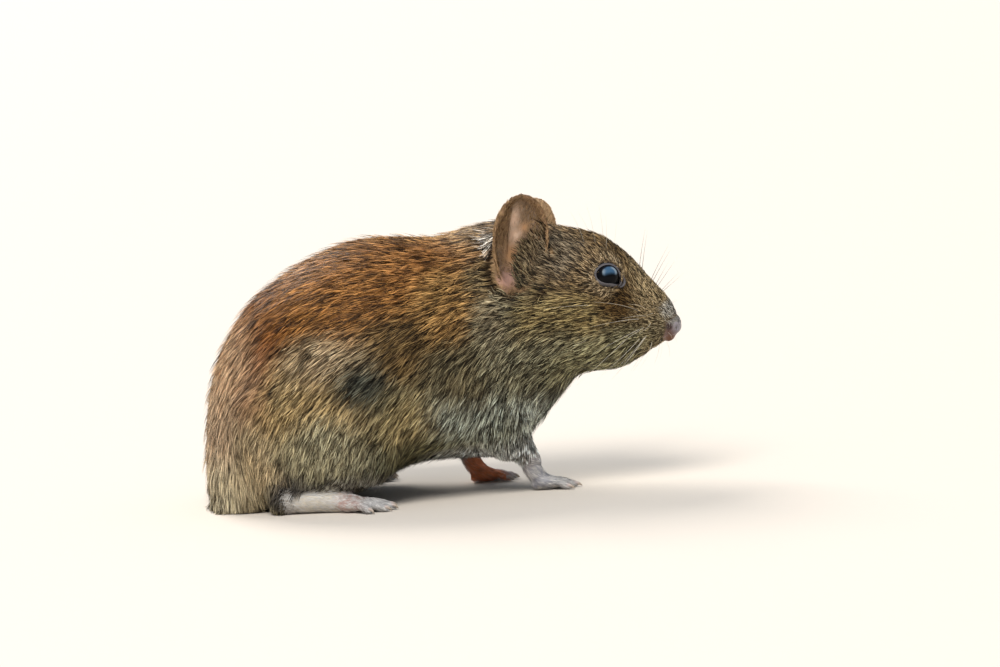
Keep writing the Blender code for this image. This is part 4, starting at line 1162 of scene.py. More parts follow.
def read_pelt():
    """Reads the skin as the coat's roots need it."""
    mesh = bpy.data.objects["skin"].data
    points, normals = point_array(mesh), normal_array(mesh)
    mesh.calc_loop_triangles()
    triangles = numbers(mesh.loop_triangles, "vertices", 3, np.int32)
    loops = numbers(mesh.loop_triangles, "loops", 3, np.int32)
    places = numbers(mesh.uv_layers[COAT_MAP].uv, "vector", 2)
    corners = points[triangles]
    first, second = corners[:, 1] - corners[:, 0], corners[:, 2] - corners[:, 0]
    areas = np.linalg.norm(np.cross(first, second), axis=1) / 2
    names = (*EAR_PLACES, "ear", "foot", "tail", "nose", "lid", "under")
    parts = {name: read_values(mesh, name) for name in names}
    tree = BVHTree.FromPolygons(points.tolist(), triangles.tolist())
    return Pelt(points, normals, triangles, areas, places[loops], parts, tree)


class Roots:
    """Places on the skin that hairs grow from."""

    def __init__(self, pelt, weight, count, chance):
        sizes = np.cumsum(pelt.areas * weight[pelt.triangles].mean(axis=1))
        drawn = (np.arange(count) + chance.random(count)) / count * sizes[-1]
        triangle = np.minimum(np.searchsorted(sizes, drawn), len(sizes) - 1)
        first, second = np.sqrt(chance.random(count)), chance.random(count)
        self.shares = np.stack([1 - first, first * (1 - second), first * second], axis=1)
        self.corners = pelt.triangles[triangle]
        self.places = self.held(pelt.points)
        self.normals = unit(self.held(pelt.normals))
        self.map = (pelt.corner_map[triangle] * self.shares[:, :, None]).sum(axis=1)
        self.parts = {name: self.held(values) for name, values in pelt.parts.items()}
        self.plain, self.side, self.share = plain_place(self.places)

    def held(self, values):
        """What the skin's points hold, at the roots."""
        if values.ndim == 1:
            return (values[self.corners] * self.shares).sum(axis=1)
        return (values[self.corners] * self.shares[:, :, None]).sum(axis=1)


def along_skin(vectors, normals):
    """Vectors laid flat on the skin, as unit vectors."""
    return unit(vectors - normals * (vectors * normals).sum(axis=1, keepdims=True))


def swung(vectors, normals, angles):
    """Vectors on the skin, turned about its normals."""
    return vectors * np.cos(angles)[:, None] + np.cross(normals, vectors) * np.sin(angles)[:, None]


def ear_ways(side):
    """The ear's middle and its ways up, outwards and ahead for each of the given sides, as posed."""
    turn = head_pose().to_3x3()
    rows = {}
    for one in SIDE_NAMES:
        centre, up, looks, ahead = ear_axes(one)
        rows[one] = [np.array(posed(centre)), *(np.array(turn @ way) for way in (up, looks, ahead))]
    right = (side == RIGHT)[:, None]
    return [np.where(right, one, other) for one, other in zip(rows[RIGHT], rows[LEFT], strict=True)]


def hanging(plain):
    """How far the coat hangs free of the skin: fully at the rump's foot, and a little along the belly."""
    x, z = plain[:, 0], plain[:, 2]
    rump = faded(x, *RUMP_FRONT) * faded(z, *RUMP_TOP)
    belly = faded(z, *BELLY_TOP) * stepped(x, *BELLY_REAR) * faded(x, *BELLY_FRONT)
    return np.maximum(rump, BELLY_HANGS * belly)


def coat_lie(roots):
    """The way, length and depth of the long coat at its roots, parted round the eyes."""
    way, length, depth = combed(roots.plain, roots.side)
    way[:, 1] *= roots.side
    way = turned(way, roots.share)
    length = length * (1.0 + HEAD_LENGTHENING * stepped(roots.share, 0.5, 1.0))
    over_ear = roots.parts["front"]
    _, up, _, ahead = ear_ways(roots.side)
    way = way + over_ear[:, None] * (1.2 * up - 1.1 * ahead - way)
    length = length + over_ear * (TUFT_LENGTH - length)
    depth = depth + over_ear * (TUFT_DEPTH - depth)
    for name in EYES:
        away = roots.places - np.array(node_middle(name))
        apart = np.linalg.norm(away, axis=1, keepdims=True) / MM
        near = np.exp(-np.maximum(apart - EYE_PARTING_START, 0.0))
        way = way + unit(away) * EYE_PARTING * near
        length = length * (1.0 - EYE_SHORTENING * near[:, 0])
    return along_skin(way, roots.normals), length, depth


def sided(way, side):
    """One way for all roots, given for the left side, on each root's own side."""
    return np.stack([np.full(len(side), way[0]), way[1] * side, np.full(len(side), way[2])], axis=1)


def short_lie(roots, coat):
    """The way, length and depth of the short hair of ears, feet, tail and nose at its roots."""
    middle, up, looks, _ = ear_ways(roots.side)
    outwards = unit(roots.places - middle)
    outwards = outwards - looks * (outwards * looks).sum(axis=1, keepdims=True)
    ahead, back = (sided(way, roots.side) for way in (FOOT_HAIR_WAY, NOSE_HAIR_WAY))
    _, tail_way = tail_run(roots.places)
    parts = [roots.parts[name][:, None] for name in SHORT_HAIRED]
    way = parts[0] * (0.7 * up + 0.8 * outwards) + parts[1] * ahead + parts[2] * tail_way + parts[3] * back
    lengths = (coat.ear_length, coat.foot_length, coat.tail_length, coat.nose_length)
    total = np.maximum(sum(parts), 0.01)[:, 0]
    length = sum(part[:, 0] * size / MM for part, size in zip(parts, lengths, strict=True)) / total
    rim = roots.parts["ear"] * stepped(np.linalg.norm(roots.places - middle, axis=1) / MM, 3.8, 5.5)
    return along_skin(way, roots.normals), length, 0.1 + (0.1 + 0.16 * rim) * length


def locks(roots, lock_count, chance):
    """The number of the lock that each hair belongs to, and each lock's leading hair."""
    leaders = chance.choice(len(roots.places), lock_count, replace=False)
    tree = KDTree(lock_count)
    for number, place in enumerate(roots.places[leaders].tolist()):
        tree.insert(place, number)
    tree.balance()
    return np.array([tree.find(place)[1] for place in roots.places.tolist()]), leaders


class Hairs(NamedTuple):
    """The middle lines of hairs, with their outward normals, ways across and widths."""

    lines: np.ndarray
    outward: np.ndarray
    across: np.ndarray
    widths: np.ndarray
    steps: np.ndarray


def hair_lines(pelt, roots, lie, width, steps, lock, chance, loose=1.0):
    """Hairs that rise from their roots, lie down along the coat and end in locks over the skin, or
    that hang free of it."""
    way, length, depth = lie
    number, leaders, pull = lock
    count = len(way)
    lock_swing = chance.normal(0.0, LOCK_SWING, len(leaders))[number]
    way = swung(way, roots.normals, (lock_swing + chance.normal(0.0, HAIR_SWING, count)) * loose)
    length = length * MM * (SHORTEST + LENGTH_SPREAD * chance.random(count))
    depth = depth * MM
    goal = roots.places + way * length[:, None]
    gather = pull * (0.4 + 0.6 * chance.random(count))
    goal += gather[:, None] * (goal[leaders][number] - goal)
    found = [pelt.tree.find_nearest(place) for place in goal.tolist()]
    landing = np.array([hit[0] for hit in found])
    end_normal = unit(pelt.normals[pelt.triangles[[hit[2] for hit in found]]].mean(axis=1))
    rise = LOWEST_RISE + RISE_SPREAD * chance.random(count)
    rise = rise + STRAY_RISE * (chance.random(count) < STRAY_SHARE)
    tip = landing + end_normal * (depth * rise)[:, None]
    free = (hanging(roots.plain) * (0.5 + 0.5 * chance.random(count)))[:, None]
    down = unit(0.5 * way + 0.2 * roots.normals + DOWN)
    tip = tip * (1.0 - free) + (roots.places + down * length[:, None]) * free
    start = roots.places - roots.normals * ROOT_DEPTH
    forward = way * (BEND_PLACE * length)[:, None]
    bend = start + forward + roots.normals * (BEND_RISE * depth * rise)[:, None]
    t = np.array(steps)[None, :, None]
    lines = (1 - t) ** 2 * start[:, None] + 2 * t * (1 - t) * bend[:, None] + t**2 * tip[:, None]
    lines[:, :, 2] = np.maximum(lines[:, :, 2], FLOOR_CLEARANCE)
    tangents = 2 * (1 - t) * (bend - start)[:, None] + 2 * t * (tip - bend)[:, None]
    outward = (1 - t) * roots.normals[:, None] + t * end_normal[:, None]
    across = np.cross(tangents, outward)
    across /= np.maximum(np.linalg.norm(across, axis=2, keepdims=True), 1e-15)
    roll = chance.normal(0.0, HAIR_ROLL, count)[:, None, None]
    across = across * np.cos(roll) + outward * np.sin(roll)
    thick = width * (THINNEST + WIDTH_SPREAD * chance.random(count))
    profile = np.array([0.75 + 0.5 * s - 0.65 * s * s for s in steps])
    return Hairs(lines, outward, across, thick[:, None] * profile[None], t[0, :, 0])


def blades(name, hairs, roots, chosen, values, material):
    """Hairs as one mesh of flat tapered blades, with a patch of the skin's map for each."""
    lines, across = hairs.lines[chosen], hairs.across[chosen]
    count, rows = lines.shape[:2]
    half = across * hairs.widths[chosen][:, :, None] / 2
    body = rows - 1
    points = np.empty((count, 2 * body + 1, 3))
    points[:, 0:-1:2] = (lines - half)[:, :body]
    points[:, 1:-1:2] = (lines + half)[:, :body]
    points[:, -1] = lines[:, -1]
    first = (np.arange(count) * (2 * body + 1))[:, None]
    ring = []
    sizes = []
    for row in range(body - 1):
        ring += [2 * row, 2 * row + 1, 2 * row + 3, 2 * row + 2]
        sizes.append(4)
    ring += [2 * body - 2, 2 * body - 1, 2 * body]
    sizes.append(3)
    corners = (first + np.array(ring)[None]).ravel()
    totals = np.tile(sizes, count)
    mesh = bpy.data.meshes.new(name)
    mesh.vertices.add(points.shape[0] * points.shape[1])
    mesh.vertices.foreach_set("co", points.astype(np.float32).ravel())
    mesh.loops.add(len(corners))
    mesh.loops.foreach_set("vertex_index", corners.astype(np.int32))
    mesh.polygons.add(len(totals))
    mesh.polygons.foreach_set("loop_start", np.concatenate([[0], np.cumsum(totals)[:-1]]).astype(np.int32))
    mesh.update(calc_edges=True)
    mesh.shade_smooth()
    along = np.concatenate([np.repeat(hairs.steps[:body], 2), [1.0]])
    aside = np.concatenate([np.tile([0.08, 0.92], body), [0.5]])
    cell = np.floor(roots.map[chosen] / HAIR_CELL) * HAIR_CELL
    patch = np.stack([aside, 0.04 + 0.92 * along], axis=1) * HAIR_CELL
    place = (cell[:, None] + patch[None])[:, ring]
    layer = mesh.uv_layers.new(name=COAT_MAP)
    layer.uv.foreach_set("vector", place.astype(np.float32).ravel())
    keep_values(mesh, "along", np.tile(along, count))
    keep_values(mesh, "place", np.repeat(roots.plain[chosen], len(along), axis=0), 3)
    for key, held in values.items():
        keep_values(mesh, key, np.repeat(held[chosen], len(along)))
    lean = np.concatenate([np.tile([-0.5, 0.5], body), [0.0]])[None, :, None]
    order = [*np.repeat(np.arange(body), 2), body]
    normals = hairs.outward[chosen][:, order] + lean * across[:, order]
    mesh.normals_split_custom_set_from_vertices(unit(normals.reshape(-1, 3)).tolist())
    triangles = count * (2 * body - 1)
    if triangles >= PIECE_LIMIT:
        raise RuntimeError(f"{name} has {triangles} triangles: part its area in two")
    piece = add_object(name, mesh, material)


def tones(roots, number, leaders, chance):
    """Lightness and marking of each hair, partly shared by its lock and more even over the rump."""
    shared = chance.random((2, len(leaders)))[:, number]
    own = chance.random((2, len(number)))
    calm = RUMP_CALM * stepped(-roots.plain[:, 0] - 0.5 * roots.plain[:, 2], 5.0, 18.0)
    headed = stepped(roots.share, 0.5, 1.0)
    alone = OWN_TONE + HEAD_OWN_TONE * headed
    lively = LIVELY + HEAD_LIVELY * headed
    tone, mark = 0.5 + ((1.0 - alone) * shared + alone * own - 0.5) * (1.0 - calm) * lively
    return {"tone": tone, "mark": mark}


def coat_material(colours):
    """Banded hair: slate at the root, coloured near the end, and on some hairs a dark tip, on others a
    light tip that is partly the hair's own and partly painted sheen.
    """
    recipe = Recipe(bpy.data.materials.new("vole_coat"))
    along, tone, mark = (recipe.reading(name) for name in ("along", "tone", "mark"))
    light = marked(recipe, colours)
    dark = shaded(recipe, light)
    colour = recipe.mix(recipe.ease(along, 0.32, 0.78), dark, light)
    tipped = recipe.ease(along, 0.5, 0.8) * recipe.ease(mark, 0.54, 0.64) * 0.95
    colour = recipe.mix(tipped, colour, dark)
    # Pale tips on some hairs: partly their own light tips, partly painted sheen.
    pale = recipe.vector("MULTIPLY", light, PALE_SHEEN_TIPS)
    pale_sheen = recipe.ease(along, 0.6, 0.95) * recipe.ease(mark, 0.4, 0.22)
    colour = recipe.mix(pale_sheen, colour, pale)
    colour = recipe.scaled(colour, 0.12 + 1.76 * recipe.ease(tone, 0.22, 0.78))
    return recipe.surface({
        "Base Color": colour,
        "Roughness": 0.55 - along * 0.12,
        "Specular IOR Level": 0.1,
    })


def short_material(colours):
    """Short hair of the ears, the feet, the tail and the nose."""
    recipe = Recipe(bpy.data.materials.new("vole_short_hair"))
    along, tone, mark = (recipe.reading(name) for name in ("along", "tone", "mark"))
    ear_hair = colours.ear_hair
    ear = recipe.mix(recipe.ease(mark, 0.05, 0.4) * 0.6 + 0.4, shaded(recipe, ear_hair), ear_hair)
    # Hair over the pale pink skin takes its colour, painted glow included.
    ear = recipe.mix(recipe.reading("blush"), ear, colours.ear_blush)
    place = recipe.reading("place", 1)
    foot = patched(recipe, place, colours.foot, FOOT_MARKINGS, colours)
    # Less white hair on the left forepaw, so that its red skin with the painted glow shows.
    white = recipe.ease(mark, 0.25, 0.6) * (1.0 - recipe.reading("warm") * 0.85)
    foot = recipe.mix(white, foot, colours.foot_hair)
    under = recipe.ease(recipe.reading("under"), 0.4, 0.7)
    tail = recipe.mix(under, colours.tail_top, colours.tail_under)
    colour = recipe.mix(recipe.reading("foot"), ear, foot)
    colour = recipe.mix(recipe.reading("tail"), colour, tail)
    colour = recipe.mix(recipe.reading("nose"), colour, colours.nose_hair)
    colour = recipe.scaled(colour, (0.6 + 0.6 * tone) * (0.75 + 0.3 * along))
    return recipe.surface({
        "Base Color": colour,
        "Roughness": 0.6 - along * 0.1,
        "Specular IOR Level": 0.15,
    })


def thinned_for_speed(count):
    return count


class VOLE_OT_body_coat(Operator):
    """Grows the long coat of the trunk, the legs and the neck"""

    bl_idname = "vole.body_coat"
    bl_label = "Body coat"

    def execute(self, context):
        coat = context.scene.vole_coat
        spacing = coat.lock_spacing
        grow_long(BODY_AREAS, coat.body_hairs, coat.body_width, spacing, coat.seed, False)
        return {"FINISHED"}


class VOLE_OT_head_coat(Operator):
    """Grows the finer and shorter coat of the head"""

    bl_idname = "vole.head_coat"
    bl_label = "Head coat"

    def execute(self, context):
        coat = context.scene.vole_coat
        spacing = HEAD_LOCKS * coat.lock_spacing
        grow_long(HEAD_AREAS, coat.head_hairs, coat.head_width, spacing, coat.seed + 1, True)
        return {"FINISHED"}


def grow_long(areas, hair_count, width, spacing, seed, on_head):
    """Grows the long coat on the head or on the rest, in one piece for each area."""
    coat, colours = settings()
    chance = np.random.default_rng(seed)
    pelt = read_pelt()
    plain, _, share = plain_place(pelt.points)
    headed = stepped(share, *HEAD_BORDER)
    parts = pelt.parts
    heel = faded(plain[:, 0], *HEEL_FRONT)
    clear = (1 - parts["ear"] * (1 - 0.8 * parts["front"])) * (1 - parts["tail"])
    clear *= 1 - parts["foot"] * (1 - heel)
    clear *= faded(parts["nose"], 0.3, 0.8) * faded(parts["lid"], 0.4, 0.8)
    length = combed(plain, np.full(len(plain), RIGHT))[1]
    weight = clear * (headed * (DENSE_LENGTH / length) ** DENSE_POWER if on_head else 1 - headed)
    roots = Roots(pelt, weight, thinned_for_speed(hair_count), chance)
    covered = (pelt.areas * weight[pelt.triangles].mean(axis=1)).sum()
    lock_count = int(covered / spacing**2)
    number, leaders = locks(roots, lock_count, chance)
    lie = coat_lie(roots)
    slim = width * (SLIMMEST + (1.0 - SLIMMEST) * stepped(lie[1], *SLIM_LENGTHS))
    hairs = hair_lines(pelt, roots, lie, slim, LONG_STEPS, (number, leaders, coat.lock_pull), chance)
    values = tones(roots, number, leaders, chance)
    material = bpy.data.materials.get("vole_coat") or coat_material(colours)
    middles = np.array([area[1] for area in areas], float)
    sides = np.array([area[2] for area in areas])
    apart = ((roots.plain[:, None] - middles[None]) ** 2).sum(axis=2)
    apart = np.where((sides[None] == 0) | (sides[None] == roots.side[:, None]), apart, np.inf)
    nearest = apart.argmin(axis=1)
    for i, area in enumerate(areas):
        chosen = np.flatnonzero(nearest == i)
        if len(chosen):
            blades(area[0], hairs, roots, chosen, values, material)


class VOLE_OT_short_coat(Operator):
    """Grows the short hair of the ears, the feet, the tail and the nose"""

    bl_idname = "vole.short_coat"
    bl_label = "Short coat"

    def execute(self, context):
        coat, colours = settings()
        chance = np.random.default_rng(coat.seed + 2)
        pelt = read_pelt()
        parts = pelt.parts
        bare = np.max([parts["blush"], 0.85 * parts["flush"], 0.9 * parts["lobe"]], axis=0)
        bare = np.maximum(0.55 * parts["bowl"], 0.95 * np.minimum(1.5 * bare, 1.0))
        shown = {"ear": 1 - bare, "nose": faded(parts["under"], 0.25, 0.55)}
        weight = sum(
            dense * parts[name] * shown.get(name, 1.0) for name, dense in SHORT_DENSITY.items()
        )
        roots = Roots(pelt, weight, thinned_for_speed(coat.short_hairs), chance)
        lie = short_lie(roots, coat)
        number, leaders = locks(roots, len(roots.places) // SHORT_LOCK_HAIRS, chance)
        width = np.full(len(roots.places), coat.short_width)
        lock = (number, leaders, SHORT_LOCK_PULL)
        hairs = hair_lines(pelt, roots, lie, width, SHORT_STEPS, lock, chance, SHORT_LOOSENESS)
        values = tones(roots, number, leaders, chance)
        values |= {name: roots.parts[name] for name in ("foot", "tail", "nose", "blush", "under")}
        # The share of the left forepaw, where the red skin with its painted glow shows through thinner
        # white hair.
        values["warm"] = nearness(("forepaw_left",), roots.places, *GLOW_PAW_BORDER)
        values["warm"] *= faded(roots.plain[:, 0], *GLOW_PAW_FRONT)
        material = short_material(colours)
        kinds = np.stack([roots.parts[name] for name in SHORT_HAIRED], axis=1).argmax(axis=1)
        for i, (name, slot) in enumerate(SHORT_HAIRED.values()):
            blades(name, hairs, roots, np.flatnonzero(kinds == i), values, material)
        return {"FINISHED"}


def tube(lines, sides):
    """Closed tapered tubes along lines, each given as its points and radii, as points and faces."""
    points, faces, shares = [], [], []
    for line, radii in lines:
        line = [Vector(point) for point in line]
        start = len(points)
        across = None
        for i, (point, radius) in enumerate(zip(line, radii)):
            way = (line[min(i + 1, len(line) - 1)] - line[max(i - 1, 0)]).normalized()
            across = across or way.orthogonal().normalized()
            across = (across - way * across.dot(way)).normalized()
            over = way.cross(across)
            for k in range(sides):
                angle = 2 * math.pi * k / sides
                points.append(point + radius * (across * math.cos(angle) + over * math.sin(angle)))
                shares.append(i / (len(line) - 1))
        for i in range(len(line) - 1):
            for k in range(sides):
                a, b = start + i * sides + k, start + i * sides + (k + 1) % sides
                faces.append((a, b, b + sides, a + sides))
        faces.append(tuple(reversed(range(start, start + sides))))
        faces.append(tuple(range(len(points) - sides, len(points))))
    return points, faces, shares


def tube_object(name, lines, sides, material):
    """Tubes along lines as one object, which holds how far along its tube each point is."""
    points, faces, shares = tube(lines, sides)
    mesh = bpy.data.meshes.new(name)
    mesh.from_pydata(points, [], faces)
    mesh.shade_smooth()
    keep_values(mesh, "along", np.array(shares))
    return add_object(name, mesh, material)


def eye_material(colours):
    """Wet black eye with a painted reflection of the sky, dim blue, over its upper half, and painted
    highlights at its ends.
    """
    recipe = Recipe(bpy.data.materials.new("vole_eye"))
    place = recipe.node("ShaderNodeTexCoord", out=3)
    cloud = recipe.noise(place, 900.0, 2.0)
    # Painted reflection of the sky, mottled, with painted highlights at its ends.
    bloom = recipe.reading("bloom") * (0.5 + cloud)
    colour = recipe.mix(bloom, colours.eye, colours.eye_bloom)
    colour = recipe.mix(recipe.reading("glint") * (0.3 + cloud), colour, colours.eye_glint)
    return recipe.surface({
        "Base Color": colour,
        "Roughness": 0.07 + cloud * 0.04,
        "Specular IOR Level": 0.06,
    })


def rim_material(colours):
    """Damp dark edge of the eyelids."""
    recipe = Recipe(bpy.data.materials.new("vole_eyelid_edge"))
    place = recipe.node("ShaderNodeTexCoord", out=3)
    grain = recipe.noise(place, 4000.0, 3.0)
    colour = recipe.mix(grain * 0.5, colours.lid, LID_GRAIN)
    normal = recipe.node("ShaderNodeBump", None, {"Strength": 0.4, "Distance": 0.03 * MM, "Height": grain})
    return recipe.surface({
        "Base Color": colour,
        "Roughness": 0.4 + grain * 0.2,
        "Specular IOR Level": 0.2,
        "Normal": normal,
    })


def lid_ring(centre, ahead, up, looks):
    """The broad edge of the lids as points and faces: a flat closed ring that lies on the eyeball round
    the opening and runs out under the skin, with a longer front corner."""
    points, faces = [], []
    for i in range(LID_STEPS):
        angle = 2 * math.pi * i / LID_STEPS
        corner = EYE_CORNER * max(0.0, math.cos(angle - EYE_CORNER_ANGLE)) ** 8
        across = ahead * EYE_OPENING[0] * math.cos(angle) + up * EYE_OPENING[1] * math.sin(angle)
        across *= 1.0 + corner
        inner = across.length
        for k in range(LID_SIDES):
            phase = 2 * math.pi * k / LID_SIDES
            share = 0.5 - 0.5 * math.cos(phase)
            reach = inner + LID_WIDTH * (1.0 + 1.5 * corner) * share
            ball = EYE_BULGE * math.sqrt(max(EYE_RADIUS**2 - inner**2, 0.0))
            height = ball + (LID_FOOT - ball) * share + LID_THICKNESS * (math.sin(phase) + 0.6)
            points.append(posed(centre + across.normalized() * reach + looks * height))
            a, b = i * LID_SIDES + k, i * LID_SIDES + (k + 1) % LID_SIDES
            c, d = (a + LID_SIDES) % (LID_STEPS * LID_SIDES), (b + LID_SIDES) % (LID_STEPS * LID_SIDES)
            faces.append((a, b, d, c))
    return points, faces


class VOLE_OT_eyes(Operator):
    """Makes the two eyes and the damp edges of their lids"""

    bl_idname = "vole.eyes"
    bl_label = "Eyes"

    def execute(self, context):
        colours = context.scene.vole_colours
        glass, edge = eye_material(colours), rim_material(colours)
        for side, side_name in SIDE_NAMES.items():
            centre, ahead, up, looks = eye_axes(side)
            ball = bmesh.new()
            bmesh.ops.create_uvsphere(ball, u_segments=64, v_segments=40, radius=EYE_RADIUS * MM)
            turn = (head_pose().to_3x3() @ Matrix((ahead, up, looks)).transposed()).to_4x4()
            bulge = Matrix.Diagonal((1.0, 1.0, EYE_BULGE, 1.0))
            ball.transform(Matrix.Translation(posed(centre)) @ turn @ bulge)
            mesh = bpy.data.meshes.new(f"eyeball_{side_name}")
            ball.to_mesh(mesh)
            ball.free()
            mesh.shade_smooth()
            away = (point_array(mesh) - np.array(posed(centre))) / (EYE_RADIUS * MM)
            forward, over, out = (away @ np.array(turn.to_3x3())).T
            # Where the painted reflection of the sky lies on the upper half of the eye, and its painted
            # highlights at both ends.
            apart = np.hypot((forward - 0.09) / 0.58, (over - 0.08) / 0.46)
            lower_edge = 0.12 * forward - 0.3 * forward**2
            bloom = faded(apart, 0.8, 1.05) * stepped(over - lower_edge, -0.16, 0.18) * (out > 0)
            ends = stepped(apart, 0.55, 0.85) * stepped(np.abs(forward + 0.05), 0.15, 0.5)
            keep_values(mesh, "bloom", bloom)
            keep_values(mesh, "glint", bloom * ends)
            eye = add_object(f"eyeball_{side_name}", mesh, glass)
            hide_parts(f"eye_{side_name}")
            points, faces = lid_ring(centre, ahead, up, looks)
            rim_mesh = bpy.data.meshes.new(f"eyelid_edge_{side_name}")
            rim_mesh.from_pydata(points, [], faces)
            rim_mesh.shade_smooth()
            add_object(rim_mesh.name, rim_mesh, edge)
        return {"FINISHED"}


class Digit(NamedTuple):
    """A toe: how far to the side of the paw's middle it starts, its direction in degrees, its length."""

    aside: float
    turn: float
    length: float


FORE_DIGITS = (Digit(-1.35, -42, 2.3), Digit(-0.5, -12, 3.3), Digit(0.45, 8, 3.5), Digit(1.25, 34, 2.5))
HIND_DIGITS = (
    Digit(-1.75, -38, 2.7),
    Digit(-0.95, -14, 4.6),
    Digit(0, -2, 5.1),
    Digit(0.95, 10, 4.7),
    Digit(1.7, 34, 3.1),
)


FORE_THICKNESS = 0.6
HIND_THICKNESS = 0.72
BALL_HEIGHT = 1.25
HIND_SPLAY = math.radians(14.0)
HIND_LENGTH = 11.0
# Each forepaw's side, how far ahead of the right one it stands, and its heading in degrees.
FORE_PAWS = ((RIGHT, 0.0, 9.0), (LEFT, -9.3, 20.0))
# The claw's middle line: its reaches ahead of the toe's end, its heights over it, and its radii.
CLAW_REACHES = (-0.25, 0.15, 0.5, 0.85, 1.12, 1.3)
CLAW_RISES = (0.0, 0.14, 0.16, 0.05, -0.14)
CLAW_POINT_HEIGHT = 0.17
CLAW_RADII = (0.3, 0.33, 0.29, 0.22, 0.14, 0.04)


def level_way(angle):
    """The level way at an angle from straight ahead."""
    return Vector((math.cos(angle), math.sin(angle), 0))


def claw_lines():
    """The middle lines and radii of all claws, from the toes' ends to their points."""
    paws = []
    for side, reach, fore_heading in FORE_PAWS:
        heading = math.radians(fore_heading)
        ball = on_side((17.7 + reach, 6.9, BALL_HEIGHT), side) + level_way(heading)
        paws.append((ball, heading, side, FORE_DIGITS, FORE_THICKNESS))
        heading = HIND_SPLAY * side
        ball = on_side((-21.8, 13.6, BALL_HEIGHT), side) + level_way(heading) * HIND_LENGTH
        paws.append((ball, heading, side, HIND_DIGITS, HIND_THICKNESS))
    lines = []
    for middle, heading, side, toes, thickness in paws:
        across = Vector((-math.sin(heading), math.cos(heading), 0))
        for toe in toes:
            ahead = level_way(heading + math.radians(toe.turn * side))
            tip = middle + across * toe.aside * side + ahead * toe.length
            tip.z = thickness * 0.85
            rises = (*CLAW_RISES, CLAW_POINT_HEIGHT - tip.z)
            places = [tip + ahead * far + Vector((0, 0, up)) for far, up in zip(CLAW_REACHES, rises)]
            lines.append(([placed(place) for place in places], [size * MM for size in CLAW_RADII]))
    return lines


class VOLE_OT_claws(Operator):
    """Makes the claws of all four feet"""

    bl_idname = "vole.claws"
    bl_label = "Claws"

    def execute(self, context):
        colours = context.scene.vole_colours
        recipe = Recipe(bpy.data.materials.new("vole_claw"))
        along = recipe.reading("along")
        grain = recipe.noise(recipe.node("ShaderNodeTexCoord", out=3), 3000.0, 3.0)
        colour = recipe.mix(recipe.ease(along, 0.1, 0.8), colours.foot, colours.claw)
        colour = recipe.scaled(colour, 0.8 + grain * 0.4)
        material = recipe.surface({"Base Color": colour, "Roughness": 0.3 + grain * 0.15})
        claws = tube_object("claws", claw_lines(), 10, material)
        return {"FINISHED"}


class Whisker(NamedTuple):
    """A whisker of the plain frame: its root, its way, its length in millimetres, how far its end
    droops, its thickness at the root and how pale it is."""

    root: tuple
    way: tuple
    length: float
    droop: float
    thick: float
    pale: float


UPRIGHT_WHISKERS = (
    Whisker((35.0, 2.0, 31.6), (-0.02, 0.12, 1.0), 7.2, -0.2, 0.045, 0.0),
    Whisker((36.6, 1.6, 30.2), (0.42, 0.2, 0.9), 6.6, -0.3, 0.042, 0.0),
    Whisker((37.2, 1.8, 29.4), (0.52, 0.3, 0.8), 6.2, 0.0, 0.04, 0.1),
    Whisker((37.8, 1.5, 28.6), (0.72, 0.25, 0.66), 5.0, 0.0, 0.036, 0.1),
    Whisker((29.5, 5.0, 37.4), (-0.12, 0.25, 1.0), 7.5, 0.4, 0.03, 0.5),
    Whisker((27.6, 5.6, 38.0), (-0.3, 0.35, 0.9), 6.5, 0.5, 0.03, 0.5),
    Whisker((31.0, 4.4, 36.2), (0.05, 0.3, 1.0), 6.0, 0.4, 0.028, 0.6),
    Whisker((34.0, 4.6, 26.6), (-0.97, 0.42, 0.12), 12.0, 2.2, 0.04, 1.0),
    Whisker((34.6, 4.6, 25.4), (-0.9, 0.42, -0.32), 10.5, 1.2, 0.038, 1.0),
    Whisker((35.2, 4.4, 24.2), (-0.82, 0.40, -0.62), 13.0, 1.0, 0.038, 0.9),
    Whisker((36.2, 3.8, 23.0), (-0.55, 0.5, -0.75), 8.5, 0.8, 0.042, 0.8),
)


def pad_whiskers():
    """The rows of fine whiskers on the pad beside the nose, the hindmost the longest."""
    found = []
    for row in range(4):
        for step in range(5):
            root = (37.9 - 0.72 * step, 2.1 + 0.45 * step, 26.2 - 1.0 * row - 0.12 * step)
            swing = math.radians(20 + 26 * step + 6 * row)
            rise = math.radians(24 - 17 * row - 1.5 * step)
            flat = math.cos(rise)
            way = (flat * math.cos(swing), flat * math.sin(swing), math.sin(rise))
            length = 3.6 + 1.5 * step - 0.3 * row
            pale = min(1.0, 0.1 + 0.22 * row + 0.08 * step)
            found.append(Whisker(root, way, length, 0.7 + 0.2 * step, 0.026 + 0.003 * step, pale))
    return found


def whisker_line(whisker, side, tree, chance):
    """A whisker's middle line from just under the skin, in the part's own frame."""
    root = posed(on_side(whisker.root, side))
    root, normal = tree.find_nearest(root)[:2]
    way = head_pose().to_3x3() @ on_side(whisker.way, side).normalized()
    way = (way + normal * 0.25 + Vector(chance.normal(0.0, 0.05, 3))).normalized()
    back = Vector((-1.0, 0.0, -0.45)).normalized()
    length = whisker.length * (0.92 + 0.16 * chance.random()) * MM
    line = []
    for i in range(WHISKER_STEPS + 1):
        share = i / WHISKER_STEPS
        sag = back * whisker.droop * MM * share**2 * 1.8
        line.append(root - normal * 0.25 * MM + way * length * share + sag)
    return line


